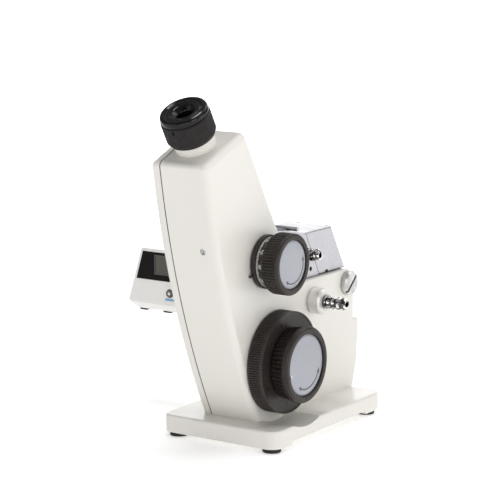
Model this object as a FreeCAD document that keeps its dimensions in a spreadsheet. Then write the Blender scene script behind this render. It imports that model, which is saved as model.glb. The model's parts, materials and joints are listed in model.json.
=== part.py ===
import FreeCAD, Part
import math
import os
import re
import Sketcher
from fcgear import fcgear, involute

# An Abbe refractometer: a bench instrument that reads the refractive index of a liquid held
# between two prisms.  X points to the operator's right, Y away from the operator and Z up.
# The origin is on the table under the base plate, and the telescope's axis crosses it left of centre.

Vector = FreeCAD.Vector
doc = FreeCAD.newDocument("refractometer")
dims = doc.addObject("Spreadsheet::Sheet", "dims")

SIZES = {
    # base plate and feet
    "base_left": -50, "base_right": 45, "base_front": -67.7, "base_back": 73, "base_corner": 9,
    "base_low": 3.5, "base_thick": 12.3, "base_top": 15.8, "base_rim": 13, "base_hollow": 6,
    "base_relief": 2.4, "relief_front": -47, "relief_back": 50, "foot_inset": 9, "foot_round": 6.5,
    # casing: profile in the YZ plane, and its walls
    "seam_x": -18.9, "casing_wide": 37.4, "cover_wide": 8.1, "casing_wall": 3, "casing_round": 4.5,
    "seam_groove": 0.5, "toe_y": -50.6, "brow_y": -107.2, "brow_z": 186, "front_curve": 605,
    "head_y": -109.2, "crown_y": -64.2, "crown_z": 216.3, "top_slope": 22.8, "lean": 30,
    "platform_z": 103.6, "back_y": 75.2, "back_round": 1.2, "back_corner": 9.7, "middle_x": -4.2,
    # telescope axis: distances along it are counted from the sloping top face of the casing
    "axis_y": -87.6, "axis_z": 205.61, "tube_round": 11.5, "tube_bore": 10, "tube_low": 67.2,
    "collar_round": 13.4, "collar_tall": 8.5, "neck_round": 12.5, "neck_top": 20,
    "ring_round": 17, "ring_low": 10.6, "ring_top": 26.4, "eyecup_round": 16.5, "eyecup_top": 31.1,
    # running clearance of everything that turns or slides
    "running": 0.05,
    # index handwheel and the gear pair behind it
    "wheel_y": -28.5, "wheel_z": 54.8, "wheel_gap": 1, "flange_round": 35.3, "flange_thick": 11.5,
    "boss_deep": 9, "grip_round": 26.4, "grip_long": 14, "disc_round": 21.2, "shaft_round": 4, "bush_round": 7,
    "gear_module": 0.6, "pinion_teeth": 16, "sector_teeth": 80, "gear_play": 0.15,
    "mesh_angle": 62.7, "beam": 50, "gear_thick": 4, "pivot_round": 3,
    # dispersion compensator
    "drum_round": 17.3, "drum_thick": 7.5, "knob_round": 21, "knob_long": 14.8, "knob_disc": 16.5,
    "knob_along": 92.2, "cell_round": 10.4, "cell_long": 20, "bevel_small": 4, "bevel_large": 8,
    # prism group
    "joint_y": 34.9, "prism_top_z": 136.6, "box_thick": 35, "group_half": 18.5, "joint_gap": 0.3,
    "hinge_y": 65.5, "hinge_z": 93.9, "hinge_round": 4, "hinge_head": 8.8, "hinge_head_thick": 4.8,
    "condenser_z": 75, "knuckle_round": 8.3, "knuckle_half": 10,
    # water connectors
    "barb_round": 4.5, "barb_long": 17.5, "barb_bore": 2, "boss_round": 9.25, "boss_long": 10,
    "low_hose_y": 20.5, "low_hose_z": 88.5, "high_hose_y": 8, "high_hose_z": 123.5,
    "prism_mid_z": 120.1, "roof_z": 143.5, "roof_slope": 10.3,
    # digital thermometer
    "meter_x": -97, "meter_front": -12, "meter_shell": 10, "meter_back": 16, "meter_low": 72,
    "meter_tall": 46, "meter_low_half": 22.5, "meter_top_half": 12, "meter_wall": 2, "meter_bevel": 4,
    "stem_y": 8, "stem_z": 110, "stem_round": 4, "button_round": 2.6, "button_x": 14, "button_z": 15,
    # prism lock on the left of the fixed seat
    "lock_y": 6, "lock_z": 131, "lock_reach": 20.4, "lock_angle": -11.3, "lock_open": 70,
    "lock_spindle": 2,
}


def fill_sheet():
    """One row of the sheet for each driving dimension."""
    for row, (name, value) in enumerate(SIZES.items(), start=1):
        dims.set("A%d" % row, name)
        dims.set("B%d" % row, str(value))
        dims.setAlias("B%d" % row, name)
    doc.recompute()


fill_sheet()
parts = {}

# two places this near to each other are the same place
CLOSE = 0.01


# ---------------------------------------------------------------- helpers

def number(text):
    """The value of an expression in sheet names."""
    return float(dims.evalExpression(text))


def bind(thing, setting, text):
    """Tie a setting of a document object to an expression in sheet names."""
    known = re.sub(r"[a-z][a-z_]+", lambda name: "dims." + name[0] if name[0] in SIZES else name[0], text)
    thing.setExpression(setting, known)


def new_body(label, x="0", y="0", z="0", turned=None):
    """A body at (x, y, z), turned about X by an angle when one is given."""
    body = doc.addObject("PartDesign::Body", label)
    body.Label = label
    bind(body, "Placement.Base.x", x)
    bind(body, "Placement.Base.y", y)
    bind(body, "Placement.Base.z", z)
    if turned:
        body.Placement.Rotation = FreeCAD.Rotation(Vector(1, 0, 0), 10)
        bind(body, "Placement.Rotation.Angle", turned)
    parts[label] = body
    return body


def new_sketch(body, role, lift="0"):
    """A sketch on one of the body's origin planes, lifted along the plane's normal."""
    made = body.newObject("Sketcher::SketchObject", "Sketch")
    plane = [feature for feature in body.Origin.OriginFeatures if feature.Role == role][0]
    made.AttachmentSupport = [(plane, "")]
    made.MapMode = "FlatFace"
    bind(made, "AttachmentOffset.Base.z", lift)
    return made


def pin_point(made, geometry, spot, x, y):
    """Hold one point of a sketch at (x, y) from the sketch's origin."""
    for kind, text in (("DistanceX", x), ("DistanceY", y)):
        index = made.addConstraint(Sketcher.Constraint(kind, -1, 1, geometry, spot, number(text)))
        bind(made, "Constraints[%d]" % index, text)


def arc_between(start, end, radius):
    """The short arc from start to end: anticlockwise for a positive radius, else clockwise."""
    chord = end - start
    rise = (radius * radius - chord.Length * chord.Length / 4) ** 0.5
    side = Vector(-chord.y, chord.x, 0).normalize() * (rise if radius > 0 else -rise)
    centre = (start + end) * 0.5 + side
    first, last = (start, end) if radius > 0 else (end, start)
    flat = Vector(1, 0, 0)
    turns = [flat.getAngle(p - centre) * (1 if p.y > centre.y else -1) for p in (first, last)]
    return Part.ArcOfCircle(Part.Circle(centre, Vector(0, 0, 1), abs(radius)), turns[0], turns[1])


def draw_outline(made, corners, arcs=None):
    """A closed outline through corners given as expressions; arcs maps an edge to its radius."""
    arcs = arcs or {}
    spots = [Vector(number(x), number(y), 0) for x, y in corners]
    ends = []
    for index, start in enumerate(spots):
        end = spots[(index + 1) % len(spots)]
        if index in arcs:
            radius = number(arcs[index])
            edge = made.addGeometry(arc_between(start, end, radius), False)
            fixed = made.addConstraint(Sketcher.Constraint("Radius", edge, abs(radius)))
            bind(made, "Constraints[%d]" % fixed, "abs(%s)" % arcs[index])
            ends.append((edge, 1, 2) if radius > 0 else (edge, 2, 1))
        else:
            edge = made.addGeometry(Part.LineSegment(start, end), False)
            ends.append((edge, 1, 2))
    for index, (edge, start, end) in enumerate(ends):
        after, after_start, _ = ends[(index + 1) % len(ends)]
        made.addConstraint(Sketcher.Constraint("Coincident", edge, end, after, after_start))
        pin_point(made, edge, start, corners[index][0], corners[index][1])


def draw_circles(made, circles):
    """Circles given as (x, y, radius) expressions."""
    for x, y, radius in circles:
        circle = Part.Circle(Vector(number(x), number(y), 0), Vector(0, 0, 1), number(radius))
        edge = made.addGeometry(circle, False)
        pin_point(made, edge, 3, x, y)
        fixed = made.addConstraint(Sketcher.Constraint("Radius", edge, number(radius)))
        bind(made, "Constraints[%d]" % fixed, radius)


def draw_box(made, left, low, right, top):
    """A rectangle between two corners."""
    draw_outline(made, [(left, low), (right, low), (right, top), (left, top)])


def pad(body, made, length, backwards=False):
    """Material from the sketch, along its normal."""
    feature = body.newObject("PartDesign::Pad", "Pad")
    feature.Profile = made
    feature.Reversed = backwards
    bind(feature, "Length", length)
    return feature


def pocket(body, made, depth, along_normal=True):
    """A cut from the sketch; a body keeps less volume afterwards."""
    doc.recompute()
    before = body.Shape.Volume
    feature = body.newObject("PartDesign::Pocket", "Pocket")
    feature.Profile = made
    feature.Reversed = along_normal
    bind(feature, "Length", depth)
    doc.recompute()
    if body.Shape.Volume > before - 1e-3:
        raise RuntimeError("a cut in %s removes nothing" % body.Label)
    return feature


def turn(body, made, axis):
    """A full turn of the sketch about its own H_Axis or V_Axis."""
    feature = body.newObject("PartDesign::Revolution", "Revolution")
    feature.Profile = made
    feature.ReferenceAxis = (made, [axis])
    feature.Angle = 360
    return feature


def round_edges(body, radius, wanted):
    """A fillet on every edge for which wanted(edge) holds."""
    doc.recompute()
    base = body.Tip
    names = ["Edge%d" % (i + 1) for i, edge in enumerate(base.Shape.Edges) if wanted(edge)]
    feature = body.newObject("PartDesign::Fillet", "Fillet")
    feature.Base = (base, names)
    bind(feature, "Radius", radius)
    doc.recompute()


def bevel_edges(body, size, wanted):
    """A chamfer on every edge for which wanted(edge) holds."""
    doc.recompute()
    base = body.Tip
    names = ["Edge%d" % (i + 1) for i, edge in enumerate(base.Shape.Edges) if wanted(edge)]
    feature = body.newObject("PartDesign::Chamfer", "Chamfer")
    feature.Base = (base, names)
    bind(feature, "Size", size)
    doc.recompute()


def flat_at(edge, side, value):
    """Whether an edge lies in the plane where its x, y or z (side is X, Y or Z) has a value."""
    box = edge.BoundBox
    return (abs(getattr(box, side + "Min") - value) < CLOSE and
            abs(getattr(box, side + "Max") - value) < CLOSE)


def turned_x(label, corners, x, y, z):
    """A piece turned about a line along X; corners are (along, radius) from (x, y, z)."""
    body = new_body(label, x, y, z)
    made = new_sketch(body, "XZ_Plane")
    draw_outline(made, corners)
    turn(body, made, "H_Axis")
    return body


def turned_on_axis(label, corners, x="middle_x", y="axis_y", z="axis_z", tilt="lean"):
    """A piece turned about the telescope axis; corners are (radius, height above the top face)."""
    body = new_body(label, x, y, z, tilt)
    made = new_sketch(body, "XZ_Plane")
    draw_outline(made, corners)
    turn(body, made, "V_Axis")
    return body


def ring(inner, outer, low, top):
    """Section of a plain ring, as (radius, height) corners."""
    return [(inner, low), (outer, low), (outer, top), (inner, top)]


def sleeve(inner, outer, near, far):
    """Section of a plain sleeve along X, as (along, radius) corners."""
    return [(near, inner), (far, inner), (far, outer), (near, outer)]


def set_of(label, shapes):
    """Identical small pieces as one node of separate solids."""
    piece = doc.addObject("Part::Feature", label)
    piece.Label = label
    piece.Shape = Part.makeCompound(shapes)
    parts[label] = piece
    return piece


def stack(steps, foot, direction):
    """Cylinders on one line, each step a (radius, length), fused into one solid."""
    made = None
    at = Vector(foot)
    for radius, length in steps:
        disc = Part.makeCylinder(radius, length, at, direction)
        made = disc if made is None else made.fuse(disc)
        at = at + direction * length
    return made.removeSplitter()


def cut_away(label, body, cutters):
    """The body less some cylinders or boxes; the cut takes over the body's label."""
    made = doc.addObject("Part::Cut", label + "_cut")
    made.Base = body
    made.Tool = fused(cutters)
    body.Label = label + "_solid"
    made.Label = label
    parts[label] = made
    return made


def cylinder_tool(radius, length, x, y, z, axis, angle):
    """A cylinder bound to the sheet, turned from Z about an axis."""
    made = doc.addObject("Part::Cylinder", "Bore")
    bind(made, "Radius", radius)
    bind(made, "Height", length)
    made.Placement.Rotation = FreeCAD.Rotation(axis, 10)
    for name, text in (("x", x), ("y", y), ("z", z)):
        bind(made, "Placement.Base." + name, text)
    bind(made, "Placement.Rotation.Angle", angle)
    return made


def box_tool(corner, sizes, slope="0"):
    """A box bound to the sheet, turned up about X by a slope."""
    made = doc.addObject("Part::Box", "Slot")
    made.Placement.Rotation = FreeCAD.Rotation(Vector(1, 0, 0), 10)
    bind(made, "Placement.Rotation.Angle", slope)
    for name, text in zip(("x", "y", "z"), corner):
        bind(made, "Placement.Base." + name, text)
    for name, text in zip(("Length", "Width", "Height"), sizes):
        bind(made, name, text)
    return made


def down_axis(distance):
    """Y and Z of the point this far down the telescope axis from the top face."""
    return ("axis_y + (%s) * sin(lean)" % distance, "axis_z - (%s) * cos(lean)" % distance)


def joint_line(height):
    """Y of the sloping plane between the two prism seats at a height."""
    return "joint_y - (%s - platform_z) * tan(lean)" % height


# ---------------------------------------------------------------- base

def base_plate():
    body = new_body("base_plate", z="base_low")
    made = new_sketch(body, "XY_Plane")
    draw_box(made, "base_left", "base_front", "base_right", "base_back")
    pad(body, made, "base_thick")
    round_edges(body, "base_corner", lambda edge: edge.BoundBox.ZLength > 5)
    top = number("base_thick")
    round_edges(body, "1.5", lambda edge: edge.BoundBox.ZMin > top - 0.01)
    made = new_sketch(body, "XY_Plane")
    draw_box(made, "base_left + base_rim", "base_front + base_rim",
             "base_right - base_rim", "base_back - base_rim")
    pocket(body, made, "base_hollow")
    made = new_sketch(body, "XY_Plane")
    draw_box(made, "base_right - base_rim", "relief_front", "base_right", "relief_back")
    pocket(body, made, "base_relief")
    made = new_sketch(body, "YZ_Plane", "seam_x + casing_wide + 0.1")
    draw_circles(made, [("wheel_y", "wheel_z - base_low", "flange_round + 7")])
    pocket(body, made, "base_right")
    made = new_sketch(body, "XY_Plane")
    draw_circles(made, [("middle_x + (%d)" % x, "%d" % y, "2.75") for x, y in BOLTS])
    pocket(body, made, "base_thick")
    made = new_sketch(body, "XY_Plane")
    draw_circles(made, [(x, y, "2") for x, y in FEET])
    pocket(body, made, "8")


BOLTS = [(-10, -30), (10, -30), (-10, 47), (10, 47)]
FEET = [(x, y) for x in ("base_left + foot_inset", "base_right - foot_inset")
        for y in ("base_front + foot_inset", "base_back - foot_inset")]


def rubber_feet():
    """Four rubber discs, each with a counterbored hole for its screw."""
    shapes = []
    for x, y in FEET:
        at = Vector(number(x), number(y), 0)
        disc = Part.makeCylinder(number("foot_round"), number("base_low"), at)
        disc = disc.cut(Part.makeCylinder(3.4, 2.2, at)).cut(Part.makeCylinder(2, 10, at))
        shapes.append(disc)
    set_of("rubber_feet", shapes)


def foot_screws():
    """Pan-head screws that hold the feet up into the base plate."""
    shapes = [stack([(3.2, 1.5), (2, 8)], Vector(number(x), number(y), 0.7), Vector(0, 0, 1))
              for x, y in FEET]
    set_of("foot_screws", shapes)


def casing_bolts():
    """Bolts from under the base plate into the casing floor."""
    low = number("base_low + base_hollow")
    grip = number("base_top + casing_wall") - low
    shapes = [stack([(4.3, 4), (2.5, grip)], Vector(number("middle_x") + x, y, low - 4), Vector(0, 0, 1))
              for x, y in BOLTS]
    set_of("casing_bolts", shapes)


# ---------------------------------------------------------------- casing

CASING_CORNERS = [
    ("toe_y", "base_top"), ("brow_y", "brow_z"),
    ("head_y", "crown_z - (crown_y - head_y) * tan(top_slope)"), ("crown_y", "crown_z"),
    ("crown_y + (crown_z - platform_z) * tan(lean)", "platform_z"),
    ("back_y - back_corner", "platform_z"), ("back_y", "platform_z - back_corner"),
    ("back_y", "base_top"),
]
CASING_ARCS = {0: "-front_curve", 5: "-back_corner"}
POSTS = [("-96", "165"), ("-78", "118"), ("-44", "25"), ("66", "26"), ("66", "56")]


def casing_solid(label, x, wide, outer_x, seam_x):
    """A slab with the casing's side profile, rounded on its outer side and bevelled at the seam."""
    body = new_body(label, x)
    made = new_sketch(body, "YZ_Plane")
    draw_outline(made, CASING_CORNERS, CASING_ARCS)
    pad(body, made, wide)
    crown = number("crown_z")
    round_edges(body, "4", lambda edge: edge.BoundBox.YLength < 0.01 and edge.BoundBox.ZMin > crown - 30)
    low = number("base_top")
    behind = number("crown_y + (crown_z - platform_z) * tan(lean)") - 0.1
    round_edges(body, "casing_round", lambda edge: flat_at(edge, "X", outer_x) and edge.BoundBox.YMin < behind
                and edge.BoundBox.ZMax > low + 1)
    round_edges(body, "back_round", lambda edge: flat_at(edge, "X", outer_x) and edge.BoundBox.YMin > behind
                and edge.BoundBox.ZMax > low + 1)
    bevel_edges(body, "seam_groove", lambda edge: flat_at(edge, "X", seam_x) and edge.BoundBox.ZMax > low + 1)
    return body


def cavity_tool(x, wide, solids):
    """The space inside the casing walls, less the posts and bosses that stand in it."""
    made = doc.addObject("Sketcher::SketchObject", "Cavity_outline")
    made.Placement.Rotation = FreeCAD.Rotation(Vector(0, 1, 0), Vector(0, 0, 1), Vector(1, 0, 0))
    draw_outline(made, CASING_CORNERS, CASING_ARCS)
    inner = doc.addObject("Part::Offset2D", "Cavity_inset")
    inner.Source = made
    bind(inner, "Value", "-casing_wall")
    space = doc.addObject("Part::Extrusion", "Cavity_space")
    space.Base = inner
    space.DirMode = "Custom"
    space.Dir = Vector(1, 0, 0)
    space.Solid = True
    bind(space, "LengthFwd", wide)
    bind(space, "Placement.Base.x", x)
    made = doc.addObject("Part::Cut", "Cavity")
    made.Base = space
    made.Tool = fused(solids)
    return made


def fused(solids):
    """Several tool shapes as one."""
    if len(solids) == 1:
        return solids[0]
    made = doc.addObject("Part::MultiFuse", "Tools")
    made.Shapes = solids
    return made


def rod(radius, near, long, y, z):
    """A cylinder along X, bound to the sheet."""
    return cylinder_tool(radius, long, near, y, z, Vector(0, 1, 0), "90")


def main_casing():
    body = casing_solid("main_casing", "seam_x", "casing_wide", number("casing_wide"), 0)
    knob_y, knob_z = down_axis("knob_along")
    boss = "seam_x + casing_wide - boss_deep"
    posts = [rod("4", "seam_x", "casing_wide", y, z) for y, z in POSTS]
    bosses = [rod("bush_round + 3", boss, "boss_deep", "wheel_y", "wheel_z"),
              rod("bush_round + 3", boss, "boss_deep", knob_y, knob_z),
              rod("pivot_round + 3", boss, "boss_deep", PIVOT[0], PIVOT[1])]
    space = cavity_tool("seam_x - 1", "casing_wide - casing_wall + 1", posts + bosses)
    bores = [rod("bush_round", "seam_x", "60", "wheel_y", "wheel_z"),
             rod("bush_round", "seam_x", "60", knob_y, knob_z),
             rod("hinge_round", "seam_x", "60", "hinge_y", "hinge_z"),
             rod("barb_round", "seam_x", "60", "low_hose_y", "low_hose_z"),
             rod("pivot_round", boss, "boss_deep - casing_wall", PIVOT[0], PIVOT[1])]
    bores += [rod("1.5", "seam_x - 1", "15", y, z) for y, z in POSTS]
    tilt = Vector(1, 0, 0)
    collar = neck_tool()
    calibration = cylinder_tool("2.3", "20", "7", "-106", "137", tilt, "-76")
    condenser = cylinder_tool("7", "20", "middle_x", "back_y + 5", "condenser_z", tilt, "90")
    beam = cylinder_tool("7", "60", "middle_x", PIVOT[0], PIVOT[1], tilt, "-beam")
    bolts = [cylinder_tool("2.5", "20", "middle_x + (%d)" % x, "%d" % y, "base_top - 5", tilt, "0")
             for x, y in BOLTS]
    slot = box_tool(("middle_x - knuckle_half - 1", "hinge_y - 10.5", "hinge_z - 10.5"),
                    ("2 * knuckle_half + 2", "40", "40"))
    cut_away("main_casing", body, [space, collar, calibration, condenser, beam, slot] + bores + bolts)


MESH_DISTANCE = "(pinion_teeth + sector_teeth) * gear_module / 2 + gear_play"
PIVOT = ("wheel_y + (%s) * cos(mesh_angle)" % MESH_DISTANCE,
         "wheel_z + (%s) * sin(mesh_angle)" % MESH_DISTANCE)


def left_cover():
    body = casing_solid("left_cover", "seam_x - cover_wide", "cover_wide", 0, number("cover_wide"))
    posts = [rod("4", "seam_x - cover_wide", "cover_wide", y, z) for y, z in POSTS]
    inside = "seam_x - cover_wide + casing_wall"
    space = cavity_tool(inside, "cover_wide", posts)
    holes = [rod("1.7", "seam_x - 20", "30", y, z) for y, z in POSTS]
    heads = [rod("3.4", "seam_x - 20", "22 - cover_wide", y, z) for y, z in POSTS]
    hose = rod("barb_round", "seam_x - 20", "30", "low_hose_y", "low_hose_z")
    cut_away("left_cover", body, [space, hose] + holes + heads)


def cover_screws():
    """Cheese-head screws through the left cover into the casing posts."""
    outer = number("seam_x - cover_wide")
    shapes = [stack([(3.2, 1.6), (1.5, 16)], Vector(outer + 0.4, float(y), float(z)), Vector(1, 0, 0))
              for y, z in POSTS]
    set_of("cover_screws", shapes)


def rear_cover():
    """Shallow box on the lower back of the casing, over the scale lighting."""
    body = new_body("rear_cover", "middle_x - 21.7", "back_y")
    made = new_sketch(body, "YZ_Plane")
    draw_outline(made, [("0", "base_top + 0.3"), ("3", "base_top + 0.3"), ("8", "34"), ("9.6", "60"),
                        ("8.4", "65"), ("0", "66.5")])
    pad(body, made, "43.4")
    round_edges(body, "2.5", lambda edge: edge.BoundBox.YMax > 2 and edge.BoundBox.XLength < 0.01)
    made = new_sketch(body, "YZ_Plane", "3")
    draw_outline(made, [("0", "base_top + 4"), ("1", "base_top + 4"), ("5.2", "35"), ("6.6", "58"),
                        ("5.8", "62"), ("0", "63")])
    pocket(body, made, "37.4")


def calibration_screw():
    """Slotted screw deep in the small hole in the casing's front."""
    tilt = Vector(0, 0.970, 0.242)
    foot = Vector(7, -106, 137) + tilt * 10
    screw = stack([(2.25, 4), (1.2, 8)], foot, tilt)
    slot = Part.makeBox(0.6, 1, 6, foot - Vector(0.3, 0.2, 3))
    set_of("calibration_screw", [screw.cut(slot)])


def condenser_lens():
    turned_on_axis("condenser_lens", [("0", "-3"), ("7", "-3"), ("7", "0"), ("7.8", "0"), ("7.8", "2"),
                                      ("5.5", "2"), ("3", "3.2"), ("0", "3.8")],
                   y="back_y", z="condenser_z", tilt="-90")


# ---------------------------------------------------------------- eyepiece and telescope

def neck_tool():
    """The bore of the eyepiece neck through the casing's top, along the telescope axis."""
    return cylinder_tool("neck_round", "30", "middle_x", "axis_y + 20 * sin(lean)", "axis_z - 20 * cos(lean)",
                         Vector(1, 0, 0), "lean")


def eyepiece_collar():
    """Threaded neck through the casing's top, with a flange cut to the slope of the top face."""
    body = turned_on_axis("eyepiece_collar", [
        ("tube_round", "-7"), ("neck_round", "-7"), ("neck_round", "-4"), ("collar_round", "-4"),
        ("collar_round", "collar_tall - 0.5"), ("collar_round - 0.5", "collar_tall"),
        ("neck_round", "collar_tall"), ("neck_round", "neck_top"), ("tube_round", "neck_top")])
    under = box_tool(("middle_x - 30", "head_y + 20 * sin(top_slope)",
                      "crown_z - (crown_y - head_y) * tan(top_slope) - 20 * cos(top_slope)"),
                     ("60", "60", "20"), "top_slope")
    beside = doc.addObject("Part::Cut", "Under_flange")
    beside.Base = under
    beside.Tool = neck_tool()
    cut_away("eyepiece_collar", body, [beside])


def telescope_tube():
    turned_on_axis("telescope_tube", ring("tube_bore", "tube_round", "-tube_low", "neck_top"))


def diopter_ring():
    body = turned_on_axis("diopter_ring", [
        ("neck_round + running", "ring_low - 1.2"), ("ring_round - 1", "ring_low - 1.2"),
        ("ring_round - 1", "ring_low"), ("ring_round", "ring_low + 0.4"),
        ("ring_round", "ring_top - 0.4"), ("ring_round - 0.4", "ring_top"),
        ("neck_round + running", "ring_top")])
    made = new_sketch(body, "XZ_Plane")
    draw_circles(made, [("0", "ring_top - 2.9", "1.1")])
    pocket(body, made, "30")


def eyecup():
    turned_on_axis("eyecup", [
        ("6", "ring_top - 3.4"), ("12", "ring_top - 3.4"), ("12", "ring_top"), ("eyecup_round", "ring_top"),
        ("eyecup_round", "eyecup_top - 2"), ("eyecup_round - 0.8", "eyecup_top - 0.7"),
        ("eyecup_round - 2.6", "eyecup_top"), ("10.4", "eyecup_top - 0.9"), ("9.4", "eyecup_top - 1.5"),
        ("6.8", "ring_top - 1"), ("6", "ring_top - 1.4")])


def eyepiece_cell():
    turned_on_axis("eyepiece_cell", ring("8.6", "tube_bore - running", "-12", "19"))


def round_lens(label, radius, low, edge, bulge_low, bulge_top):
    """A lens with a cylindrical edge and two faces domed by the given heights."""
    turned_on_axis(label, [("0", "%s - %s" % (low, bulge_low)), (radius, low),
                           (radius, "%s + %s" % (low, edge)), ("0", "%s + %s + %s" % (low, edge, bulge_top))])


def lenses():
    round_lens("eye_lens", "8.6", "14", "2", "1.2", "1.6")
    round_lens("field_lens", "8.6", "-11", "1.6", "0.2", "1.6")
    round_lens("reticle", "tube_bore", "-20", "1.5", "0.01", "0.01")
    round_lens("objective_lens", "tube_bore", "-tube_low + 3", "4", "1.2", "1.6")


# ---------------------------------------------------------------- dispersion compensator

def compensator_housing():
    """Tube round the two prism cells, with a window for the bevel wheel on the knob's shaft."""
    body = turned_on_axis("compensator_housing",
                          ring("cell_round + running", "cell_round + 2.1", "-knob_along - 25",
                               "-knob_along + 25"))
    window = cylinder_tool("bevel_small + 1.6", "30", "middle_x", *down_axis("knob_along"),
                           Vector(0, 1, 0), "90")
    cut_away("compensator_housing", body, [window])


def bevel_teeth(wheel, count, radius, deep, low, high):
    """Tooth gaps cut into the conical rim of a wheel that stands on the Z axis."""
    for index in range(count):
        gap = Part.makeBox(radius, 0.7, high - low, Vector(radius - deep, -0.35, low))
        gap.rotate(Vector(0, 0, 0), Vector(0, 0, 1), 360 * index / count)
        wheel = wheel.cut(gap)
    return wheel


def on_axis(shape, distance, flipped=False):
    """Move a shape that stands on the Z axis to a distance down the telescope axis."""
    if flipped:
        shape.rotate(Vector(0, 0, 0), Vector(1, 0, 0), 180)
    y, z = down_axis(distance)
    shape.rotate(Vector(0, 0, 0), Vector(1, 0, 0), number("lean"))
    shape.translate(Vector(number("middle_x"), number(y), number(z)))
    return shape


def amici_cell(name, flipped):
    """A toothed tube that turns a direct-vision prism; its small end faces the bevel wheel."""
    wide, long = number("cell_round"), number("cell_long")
    small, large = number("bevel_small"), number("bevel_large")
    rim = Part.makeCone(large, wide, 2.2, Vector(0, 0, small + 0.25))
    tube = Part.makeCylinder(wide, long - 2.2, Vector(0, 0, small + 2.45))
    cell = bevel_teeth(rim.fuse(tube), 24, wide, 1.4, small, small + 2)
    cell = cell.cut(Part.makeCylinder(large - 1.6, 60, Vector(0, 0, -10)))
    set_of(name + "_cell", [on_axis(cell, "knob_along", flipped)])
    half = (large - 1.7) * 0.7
    corners = [Vector(0, -half, 8), Vector(0, half, 8), Vector(0, 0, 20), Vector(0, -half, 8)]
    prism = Part.Face(Part.makePolygon(corners)).extrude(Vector(2 * half, 0, 0))
    prism.translate(Vector(-half, 0, 0))
    set_of(name + "_prism", [on_axis(prism, "knob_along", flipped)])


def dispersion_shaft():
    """The knob's shaft with its bevel wheel, whose teeth drive both cells opposite ways."""
    start = number("bevel_large") + 0.4
    reach = number("seam_x + casing_wide + wheel_gap + drum_thick + knob_long - 3 - middle_x")
    small = number("bevel_small")
    wheel = bevel_teeth(Part.makeCone(small * 0.7, small, 2.6), 12, small, 0.9, 0, 2)
    wheel.translate(Vector(0, 0, start))
    shaft = wheel.fuse(Part.makeCylinder(number("shaft_round"), reach - start - 2, Vector(0, 0, start + 2)))
    shaft.rotate(Vector(0, 0, 0), Vector(0, 1, 0), 90)
    y, z = down_axis("knob_along")
    shaft.translate(Vector(number("middle_x"), number(y), number(z)))
    set_of("dispersion_shaft", [shaft])


RIGHT = "seam_x + casing_wide"


def dispersion_knob():
    y, z = down_axis("knob_along")
    turned_x("dispersion_drum", [("0", "shaft_round"), ("drum_thick", "shaft_round"),
                                 ("drum_thick", "drum_round"), ("2.2", "drum_round"),
                                 ("2.2", "drum_round + 1.2"), ("0", "drum_round + 1.2")],
             RIGHT + " + wheel_gap", y, z)
    turned_x("dispersion_grip", [("0", "shaft_round"), ("knob_long - 2.5", "shaft_round"),
                                 ("knob_long - 2.5", "knob_disc"), ("knob_long", "knob_disc"),
                                 ("knob_long", "knob_round - 1.5"), ("knob_long - 1.5", "knob_round"),
                                 ("0", "knob_round - 0.4")],
             RIGHT + " + wheel_gap + drum_thick", y, z)
    turned_x("dispersion_disc", [("0", "0"), ("1.2", "0"), ("1.2", "knob_disc - 0.3"),
                                 ("0", "knob_disc - 0.3")],
             RIGHT + " + wheel_gap + drum_thick + knob_long - 2", y, z)


# ---------------------------------------------------------------- index handwheel and scale

def shaft_bushes():
    """Bearing bushes of the two knobs, pressed into bosses on the casing's right wall."""
    inner, outer = number("shaft_round + running"), number("bush_round")
    inside, proud = -number("boss_deep - 1"), 0.6
    corners = [(inside, inner), (proud, inner), (proud, outer), (inside, outer)]
    places = [("wheel_y", "wheel_z"), down_axis("knob_along")]
    set_of("shaft_bushes", [lathe_x(corners, number(RIGHT), number(y), number(z)) for y, z in places])


def handwheel():
    y, z = "wheel_y", "wheel_z"
    turned_x("handwheel_flange", [("0", "shaft_round"), ("flange_thick - 4", "shaft_round"),
                                  ("flange_thick - 4", "grip_round - 3"), ("flange_thick", "grip_round - 3"),
                                  ("flange_thick", "flange_round - 0.8"),
                                  ("flange_thick - 0.8", "flange_round"), ("0", "flange_round")],
             RIGHT + " + wheel_gap", y, z)
    turned_x("handwheel_grip", [("-4", "shaft_round"), ("grip_long - 3", "shaft_round"),
                                ("grip_long - 3", "disc_round"), ("grip_long", "disc_round"),
                                ("grip_long", "grip_round - 1.2"), ("grip_long - 1.2", "grip_round"),
                                ("grip_long - 4.5", "grip_round"), ("0", "grip_round - 1.6"),
                                ("0", "grip_round - 3"), ("-4", "grip_round - 3")],
             RIGHT + " + wheel_gap + flange_thick", y, z)
    turned_x("handwheel_disc", [("0", "0"), ("1.2", "0"), ("1.2", "disc_round - 0.3"),
                                ("0", "disc_round - 0.3")],
             RIGHT + " + wheel_gap + flange_thick + grip_long - 2.2", y, z)
    start = number("middle_x - gear_thick")
    reach = number(RIGHT + " + wheel_gap + flange_thick + grip_long - 3.2") - start
    at = Vector(start, number(y), number(z))
    shaft = stack([(number("pinion_teeth * gear_module / 2") - 1.5, 8), (number("shaft_round"), reach - 8)],
                  at, Vector(1, 0, 0))
    set_of("handwheel_shaft", [shaft])


def gear_blank(teeth, thick):
    """A spur gear on the Z axis, cut with involute teeth."""
    outline = fcgear.FCWireBuilder()
    involute.CreateExternalGear(outline, number("gear_module"), teeth, 20)
    wire = Part.Wire([edge.toShape() for edge in outline.wire])
    return Part.Face(wire).extrude(Vector(0, 0, thick))


def along_x(shape, x, y, z):
    """Stand a shape from the Z axis on the X axis, at (x, y, z)."""
    shape.rotate(Vector(0, 0, 0), Vector(0, 1, 0), 90)
    shape.translate(Vector(number(x), number(y), number(z)))
    return shape


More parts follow.
